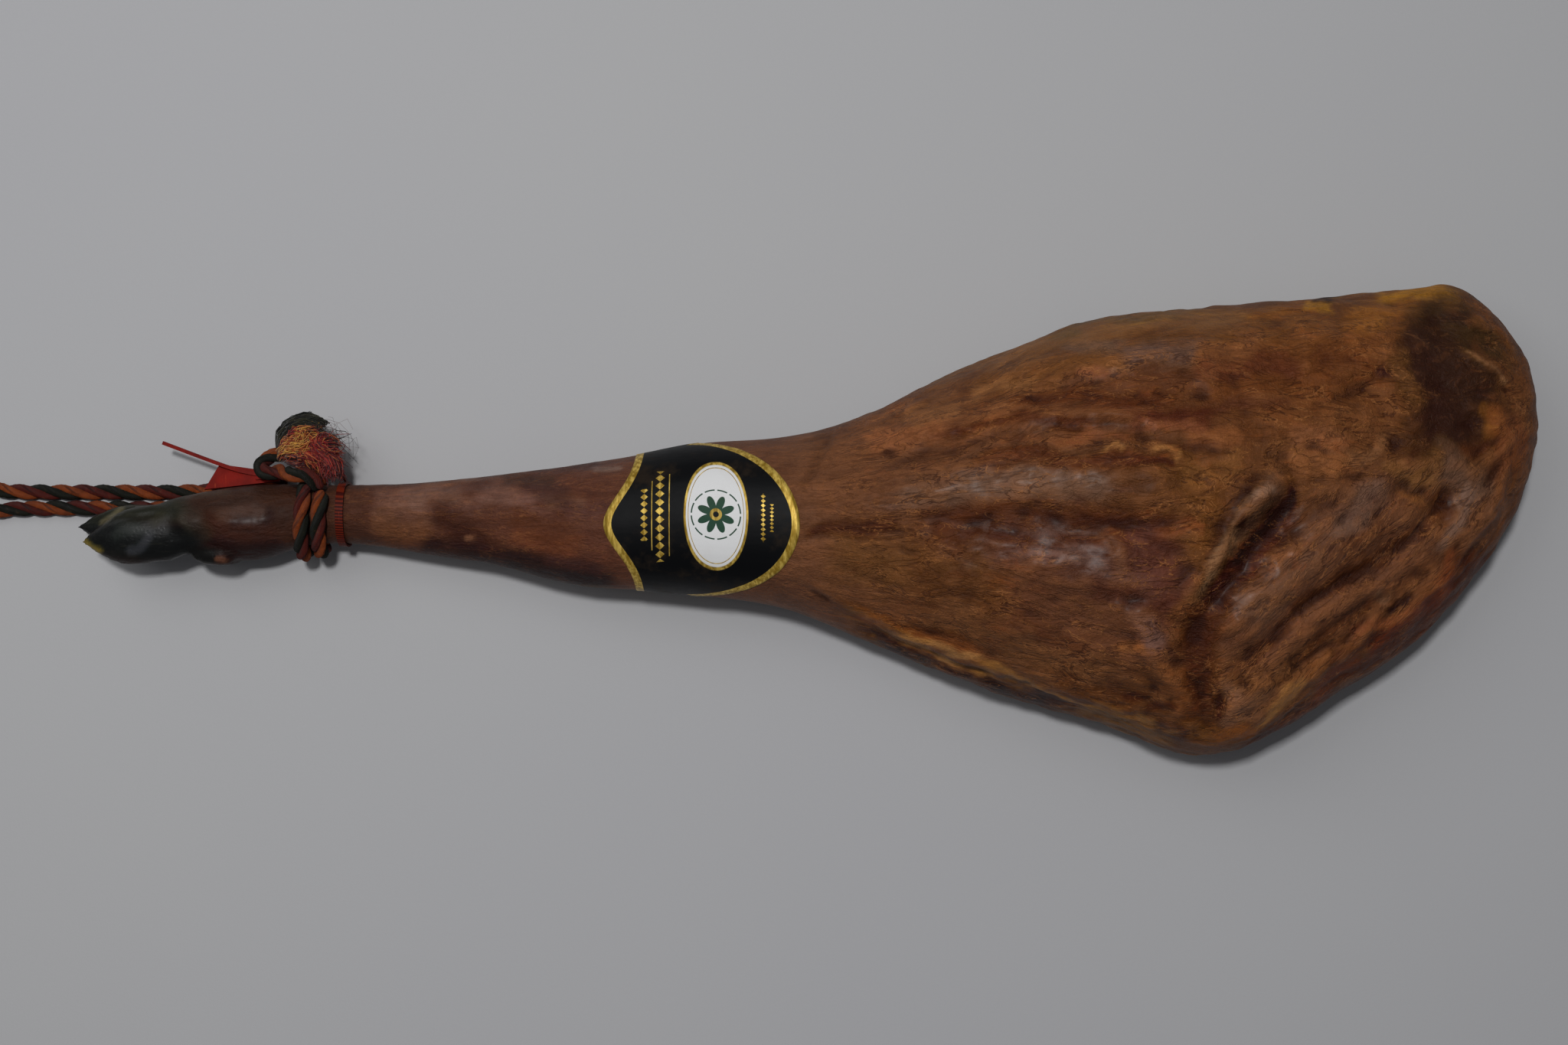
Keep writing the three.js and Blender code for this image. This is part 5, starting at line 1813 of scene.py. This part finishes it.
@dataclass
class TwistedRope:
    """A rope of three dyed strands, in mm.

    Args:
        diameter: Its diameter.
        lay: The length of one full turn of a strand.
        step: How far apart a strand's rings are.
        sides: Points in a ring.
        line: The last rope's middle line.
    """

    diameter: float = 9.3
    lay: float = 38.0
    step: float = 1.2
    sides: int = 12
    line: np.ndarray | None = None

    def build(self, name: str, route: np.ndarray, phase: float, node: str) -> bpy.types.Object:
        """Builds a length of rope.

        Args:
            name: The piece's name.
            route: The route's points, in mm.
            phase: Where the first strand starts, in radians.
            node: The solid that it replaces.

        Returns:
            The rope.
        """
        line = even_line(route, self.step)
        _, sides, ups = carried_frame(line)
        run = np.arange(len(line)) * np.linalg.norm(line[1] - line[0])
        thick = self.diameter / 2 / THREE_STRANDS * 1.1
        swing = self.diameter / 2 - thick
        round_ = np.arange(self.sides) * TAU / self.sides
        wind = Turbulence(len(line))
        points, faces, yarn, dark, light = [], [], [], [], []
        for strand, dye in enumerate(STRAND_DYES):
            angle = TAU * run / self.lay + phase + strand * TAU / 3
            out = sides * np.cos(angle)[:, None] + ups * np.sin(angle)[:, None]
            core = line + out * swing
            way = np.gradient(core, axis=0)
            way /= np.linalg.norm(way, axis=1)[:, None]
            across = out - way * np.einsum("ij,ij->i", out, way)[:, None]
            across /= np.linalg.norm(across, axis=1)[:, None]
            other = np.cross(way, across)
            worn = 1 + 0.05 * wind.at(core + strand * 50, 6, 2)
            ends = np.sqrt(np.clip(np.minimum(run, run[-1] - run) / (thick * 0.9), 0, 1))
            size = (thick * worn * np.maximum(ends, 0.12))[:, None, None]
            ring = across[:, None] * np.cos(round_)[:, None] + other[:, None] * np.sin(round_)[:, None]
            fuzz = wind.at((core[:, None] + ring * thick).reshape(-1, 3) + strand * 90, 1.6, 2)
            tube = core[:, None] + ring * size * (1 + 0.07 * fuzz.reshape(len(line), self.sides, 1))
            base = sum(len(part) for part in points)
            points.append(tube.reshape(-1, 3))
            faces.append(tube_faces(len(line), self.sides) + base)
            for cap in (0, len(line) - 1):
                at = base + cap * self.sides + np.arange(self.sides)
                quads = np.stack([at[:5], at[1:6], at[10:5:-1], at[11:6:-1]], 1)
                faces.append(quads if cap else quads[:, ::-1])
            far = np.repeat(run, self.sides) * 1.07
            near = np.tile(round_ * thick, len(line))
            yarn.append(np.stack([far, near, np.full(len(far), strand)], 1))
            dark.append(np.tile(seen(*dye.dark), (len(far), 1)))
            light.append(np.tile(seen(*dye.light), (len(far), 1)))
        rope = mesh_piece(name, np.concatenate(points) * MM, np.concatenate(faces))
        set_attribute(rope, "yarn", np.concatenate(yarn))
        set_attribute(rope, "dye_dark", np.concatenate(dark))
        set_attribute(rope, "dye_light", np.concatenate(light))
        self.line = line
        return settle(rope, name, RopeFinish().material(), node)


# The slack loop's route on the table, in mm: out past the claws and back.
LOOP_Z = 4.95
LOOP_ROUTE = (
    (-306.1, 23.15), (-320.1, 21.65), (-340.1, 18.85), (-372.1, 17.25), (-412.1, 17.25), (-452.1, 17.25),
    (-474.1, 17.85), (-494.1, 21.05), (-512.1, 26.45), (-527.1, 30.85), (-541.1, 32.25), (-551.1, 29.55),
    (-558.4, 22.25), (-561.1, 12.25), (-558.4, 2.25), (-551.1, -5.05), (-541.1, -7.75), (-527.1, -6.35),
    (-512.1, -1.95), (-494.1, 3.65), (-474.1, 6.85), (-452.1, 7.45), (-412.1, 7.45), (-372.1, 7.25),
    (-340.1, 8.25), (-320.1, 10.65), (-306.1, 12.15),
)


@dataclass
class HangingRope:
    """The rope: its loop on the table, its turns round the shank and the bight beside them.

    Args:
        rope: What its lengths are made of.
        first_x: Where the turns start along the leg, in mm.
        pitch: How far the rope moves towards the hoof in one turn, in mm.
        start: The angle where the turns start, in degrees.
        sweep: How far they run round, in degrees.
        off: How far its middle is from the leg's surface, in mm.
    """

    rope: TwistedRope = field(default_factory=TwistedRope)
    first_x: float = -278.0
    pitch: float = 10.0
    start: float = 52.0
    sweep: float = 612.0
    off: float = 4.7

    def loop(self) -> bpy.types.Object:
        """Returns:
            The loop.
        """
        route = np.array([(x, y, LOOP_Z) for x, y in LOOP_ROUTE])
        loop = self.rope.build("hanging_loop", route, 0.4, "rope_loop")
        return loop

    def turns(self, ground: Ground) -> bpy.types.Object:
        """Builds the turns round the shank.

        Args:
            ground: The leg's surface.

        Returns:
            The turns.
        """
        route = []
        for swept in np.arange(0, self.sweep + 1, 9.0):
            middle = ground.middle(self.first_x - self.pitch * swept / 360)
            route.append(ground.out_from(middle, way_round(self.start + swept), self.off * MM) / MM)
        route = np.array(route)
        for _ in range(2):
            route[1:-1] = (route[:-2] + 2 * route[1:-1] + route[2:]) / 4
        return self.rope.build("rope_turns_round_shank", route, 2.0, "rope_turns")

    def bight(self, ground: Ground) -> bpy.types.Object:
        """Builds the bight that turns back on itself and crosses the last turn.

        Args:
            ground: The leg's surface.

        Returns:
            The bight.
        """
        side = np.array((-305.3, 27.2, 26.4))
        offsets = ((13, 10.3, -7), (1, 12.6, -7), (-9, 10, -5), (-12.5, 5.4, 0), (-9, 1.4, 6), (2, 1.4, 11))
        route = [side + offset for offset in offsets]
        over = 9.9  # how far it rises where it crosses the last turn
        for dx, degrees, share in ((-16, 42, 1), (-9, 44, 1), (-3.5, 46, 0.6), (-0.5, 49, 0.12)):
            off = (self.off + share * over) * MM
            crossing = ground.out_from(ground.middle(self.first_x + dx), way_round(degrees), off)
            route.append(np.array(crossing) / MM)
        return self.rope.build("rope_bight", np.array(route), 0.9, "rope_knot")


class FrayFinish:
    """Loose dyed fibres."""

    def material(self) -> bpy.types.Material:
        """Builds the finish.

        Returns:
            The finish.
        """
        sheet = NodeSheet("loose_dyed_fibre")
        tone = sheet.noise(sheet.place(), 900, 3, 0.6) * 0.9 + 0.55
        colour = sheet.shaded(sheet.attribute("dye", "Color"), tone)
        return sheet.finish(Base_Color=colour, Roughness=0.75, Specular_IOR_Level=0.25, Sheen_Weight=0.2)


@dataclass(frozen=True)
class Tuft:
    """One clump of fibres at the rope's end.

    Args:
        core: The line that its fibres follow, in mm.
        count: How many fibres.
        spread: How wide it is at the root and at the tip, in mm.
        curl: How far a fibre strays, in mm.
        thick: A fibre's radius, in mm.
        tones: The dyes' colours, 0 to 255.
    """

    core: tuple
    count: int
    spread: tuple[float, float]
    curl: float
    thick: float
    tones: tuple


TUFTS = (
    Tuft(
        (
            (-306, 42, 23), (-305.5, 47, 29), (-300.5, 54, 34), (-292, 58.5, 37), (-283.5, 58, 37),
            (-278.5, 54, 36),
        ),
        560, (2.6, 4.6), 0.8, 0.44, ((24, 25, 20), (33, 34, 27), (44, 42, 32), (30, 22, 20)),
    ),
    Tuft(
        ((-306, 37, 25), (-302, 41, 32), (-296, 44, 37), (-288, 45, 41), (-284, 49, 42)),
        330, (2.6, 5.8), 1.8, 0.40,
        ((158, 116, 58), (148, 84, 44), (128, 54, 36), (104, 44, 32), (166, 124, 60)),
    ),
    Tuft(
        ((-303, 44, 30), (-298, 49, 34), (-290, 52.5, 37), (-281, 50, 38)),
        380, (3.0, 5.4), 1.7, 0.40,
        ((120, 40, 34), (150, 92, 48), (90, 24, 28), (56, 36, 28), (164, 120, 56)),
    ),
    Tuft(
        ((-304, 37, 25), (-296, 34.5, 30), (-288, 34.5, 33), (-280, 32, 34)),
        260, (2.6, 3.8), 1.2, 0.40, ((70, 24, 24), (96, 30, 28), (40, 24, 22), (120, 60, 36)),
    ),
    Tuft(
        ((-302, 40, 32), (-293, 40, 37), (-285, 38, 40), (-280, 32, 40)),
        300, (3.0, 5.2), 1.8, 0.40, ((118, 36, 32), (96, 24, 26), (140, 70, 44), (60, 22, 24), (150, 96, 52)),
    ),
    Tuft(
        ((-294, 45, 33), (-286, 46, 38), (-279, 41, 40), (-273.5, 33, 38), (-273.5, 25, 35)),
        560, (3.6, 7.0), 2.1, 0.40, ((104, 24, 30), (90, 22, 27), (122, 40, 34), (70, 20, 25), (130, 58, 42)),
    ),
    Tuft(
        ((-288, 44, 33), (-281, 43, 39), (-274, 44, 40), (-269, 42, 36)),
        240, (3.0, 7.8), 2.6, 0.36, ((108, 24, 31), (82, 20, 26), (126, 48, 38), (140, 80, 44), (36, 24, 24)),
    ),
    Tuft(
        ((-286, 54, 37), (-277, 53, 38), (-269, 46, 34), (-264, 37, 27)),
        46, (3.5, 9.0), 4.2, 0.13, ((34, 28, 26), (70, 26, 28), (46, 40, 34)),
    ),
)


@dataclass
class FrayedEnd:
    """The rope's end, opened into a brush that arches over beside the turns.

    Args:
        rings: Rings of four points in a fibre.
        points: The points of each fibre so far, in mm.
        faces: Their faces.
        dyes: Each fibre's colour.
    """

    rings: int = 7
    points: list[np.ndarray] = field(default_factory=list)
    faces: list[np.ndarray] = field(default_factory=list)
    dyes: list[tuple[float, float, float]] = field(default_factory=list)

    def build(self) -> bpy.types.Object:
        """Builds the brush.

        Returns:
            The brush.
        """
        chance = np.random.default_rng(11)
        for tuft in TUFTS:
            self.tuft(tuft, chance)
        brush = mesh_piece("frayed_rope_end", np.concatenate(self.points) * MM, np.concatenate(self.faces))
        set_attribute(brush, "dye", np.repeat(np.array(self.dyes), self.rings * 4, 0))
        return settle(brush, "frayed_rope_end", FrayFinish().material(), "rope_tail")

    def tuft(self, tuft: Tuft, chance: np.random.Generator) -> None:
        """Adds one clump.

        Args:
            tuft: The clump.
            chance: Where chance comes from.
        """
        line = even_line(np.array(tuft.core, float), 0.6)
        _, sides, ups = carried_frame(line)
        for _ in range(tuft.count):
            angle, swirl = chance.uniform(0, TAU), chance.uniform(-1.3, 1.3)
            share = math.sqrt(chance.random())
            start = chance.uniform(0, 0.5)
            end = min(1.0, start + chance.uniform(0.35, 0.7))
            phase = chance.uniform(0, TAU, 3)
            strength = chance.normal(0, tuft.curl, 3)
            core = []
            for u in np.linspace(0, 1, self.rings):
                along = start + (end - start) * u
                at = min(int(along * (len(line) - 1)), len(line) - 1)
                wide = share * (tuft.spread[0] + (tuft.spread[1] - tuft.spread[0]) * along**1.3)
                turn = angle + swirl * u
                out = sides[at] * math.cos(turn) + ups[at] * math.sin(turn)
                core.append(line[at] + out * wide + strength * np.sin(phase + u * 5.5) * (0.25 + u))
            self.fibre(np.array(core), tuft.thick * chance.uniform(0.6, 1.1))
            self.dyes.append(seen(*tuft.tones[chance.integers(len(tuft.tones))]))

    def fibre(self, core: np.ndarray, thick: float) -> None:
        """Adds one fibre, a thin tube of few faces.

        Args:
            core: Its line, in mm.
            thick: Its radius at the root.
        """
        _, sides, ups = carried_frame(core)
        base = len(self.points) * self.rings * 4
        size = thick * (1 - 0.5 * np.linspace(0, 1, self.rings))[:, None]
        ring = [core + (sides * a + ups * b) * size for a, b in ((1, 0), (0, 1), (-1, 0), (0, -1))]
        self.points.append(np.stack(ring, 1).reshape(-1, 3))
        last = base + (self.rings - 1) * 4
        self.faces.append(tube_faces(self.rings, 4) + base)
        caps = [[base + 3, base + 2, base + 1, base], [last, last + 1, last + 2, last + 3]]
        self.faces.append(np.array(caps))


# ---- The plastic seal ----


class SealFinish:
    """Red moulded plastic, waxy and a little scuffed; the strap is darker, and its ribs are painted as bands
    of painted shade and painted highlight.
    """

    def material(self) -> bpy.types.Material:
        """Builds the finish.

        Returns:
            The finish.
        """
        sheet = NodeSheet("red_seal_plastic")
        place = sheet.place()
        x, y, z = sheet.axes(place)
        haze = sheet.noise(place, 90, 4, 0.6)
        scuffs = sheet.noise(sheet.scaled(place, (900, 120, 400)), 1.0, 3, 0.6)
        strap = x.rise(-0.2712, -0.2704)
        colour = sheet.mix(haze.rise(0.35, 0.7), seen(88, 21, 6), seen(106, 29, 9))
        # the strap's ribs: alternating painted shade and painted highlight, with no relief of their own
        rib_light_and_shade = ((y + z * 0.7) * 3300.0).sine().rise(-0.2, 0.6)
        colour = sheet.mix(strap * 0.9, colour, sheet.mix(rib_light_and_shade, seen(40, 17, 12), seen(82, 36, 22)))
        colour = sheet.layered(colour, (scuffs.rise(0.62, 0.75) * 0.25, (170, 76, 50)))
        return sheet.finish(
            Base_Color=colour,
            Roughness=0.45 + 0.2 * scuffs,
            Specular_IOR_Level=0.12,
            Normal=sheet.bump(scuffs * 0.4 + haze * 0.4, 0.0003, 0.4),
        )


@dataclass
class Seal:
    """The plastic seal: a strap round the shank, a link, a flag and its free end."""

    def dress(self) -> None:
        """Gives the frame's own seal its finish."""
        seal = bpy.data.objects["seal_tie"]
        seal.data.materials.clear()
        seal.data.materials.append(SealFinish().material())
        log.info("seal dressed")


# ---- The studio ----


@dataclass
class Studio:
    """A pale floor, a soft light from above, and the camera that looks straight down.

    Args:
        aim: The x and y that the camera stands over, in metres.
        height: How high it stands, in metres.
        lens: Its focal length, in mm.
    """

    aim: tuple[float, float] = (-0.008, -0.0011)
    height: float = 1.315
    lens: float = 50.0

    def camera(self) -> None:
        """Sets up the camera."""
        bpy.ops.object.camera_add(location=(*self.aim, self.height), rotation=(0, 0, 0))
        camera = bpy.context.object
        camera.name = "overhead_camera"
        camera.data.lens = self.lens
        camera.data.sensor_width = 36.0
        camera.data.clip_end = 50.0
        bpy.context.scene.camera = camera

    def light(self, way: tuple[float, float, float], power: float, size: float, far: float = 3.0) -> None:
        """Adds a square soft light that faces the ham.

        Args:
            way: Where it stands, seen from the ham.
            power: Its power, in watts.
            size: Its side, in metres.
            far: How far off it is, in metres.
        """
        place = Vector(way).normalized() * far
        bpy.ops.object.light_add(type="AREA", location=place)
        lamp = bpy.context.object
        lamp.data.shape = "SQUARE"
        lamp.data.size = size
        lamp.data.energy = power
        lamp.rotation_euler = place.to_track_quat("Z", "Y").to_euler()

    def build(self) -> None:
        """Builds the floor and the lights."""
        bpy.ops.mesh.primitive_plane_add(size=9.0, location=(0, 0, 0))
        floor = bpy.context.object
        floor.name = "studio_floor"
        floor.data.materials.append(self.paper())
        world = bpy.data.worlds.new("studio_air")
        world.use_nodes = True
        world.node_tree.nodes["Background"].inputs["Color"].default_value = (0.93, 0.95, 1.0, 1.0)
        world.node_tree.nodes["Background"].inputs["Strength"].default_value = 0.09
        bpy.context.scene.world = world
        self.light((-0.10, 0.20, 1.0), 22.5, 0.2, 2.4)
        self.light((-0.55, 0.45, 1.0), 5.6, 1.3, 1.9)
        scene = bpy.context.scene
        scene.view_settings.view_transform = "Standard"
        scene.view_settings.look = "None"
        log.info("studio ready")

    @staticmethod
    def paper() -> bpy.types.Material:
        """The floor's pale grey paper.

        Returns:
            The finish.
        """
        sheet = NodeSheet("studio_paper")
        place = sheet.place()
        cloud = sheet.noise(place, 1.6, 3, 0.5)
        grain = sheet.noise(place, 700, 2, 0.5)
        colour = sheet.mix(cloud * 0.9, (0.60, 0.60, 0.595), (0.545, 0.545, 0.58))
        colour = sheet.mix(grain * 0.12, colour, (0.50, 0.50, 0.51))
        return sheet.finish(Base_Color=colour, Roughness=0.9, Normal=sheet.bump(grain, 0.0002, 0.3))


# ---- Making ----


def main() -> None:
    """Builds the studio, the ham and all that is tied to it, in order."""
    logging.basicConfig(level=logging.INFO, format="%(message)s")
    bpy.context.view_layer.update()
    studio = Studio()
    studio.camera()
    hanging = HangingRope()
    hanging.loop()
    leg = Leg().build()
    ground = Ground()
    ground.read_surface(leg)
    hanging.turns(ground)
    hanging.bight(ground)
    FrayedEnd().build()
    Label().build(ground)
    Seal().dress()
    studio.build()


if __name__ == "__main__":
    main()
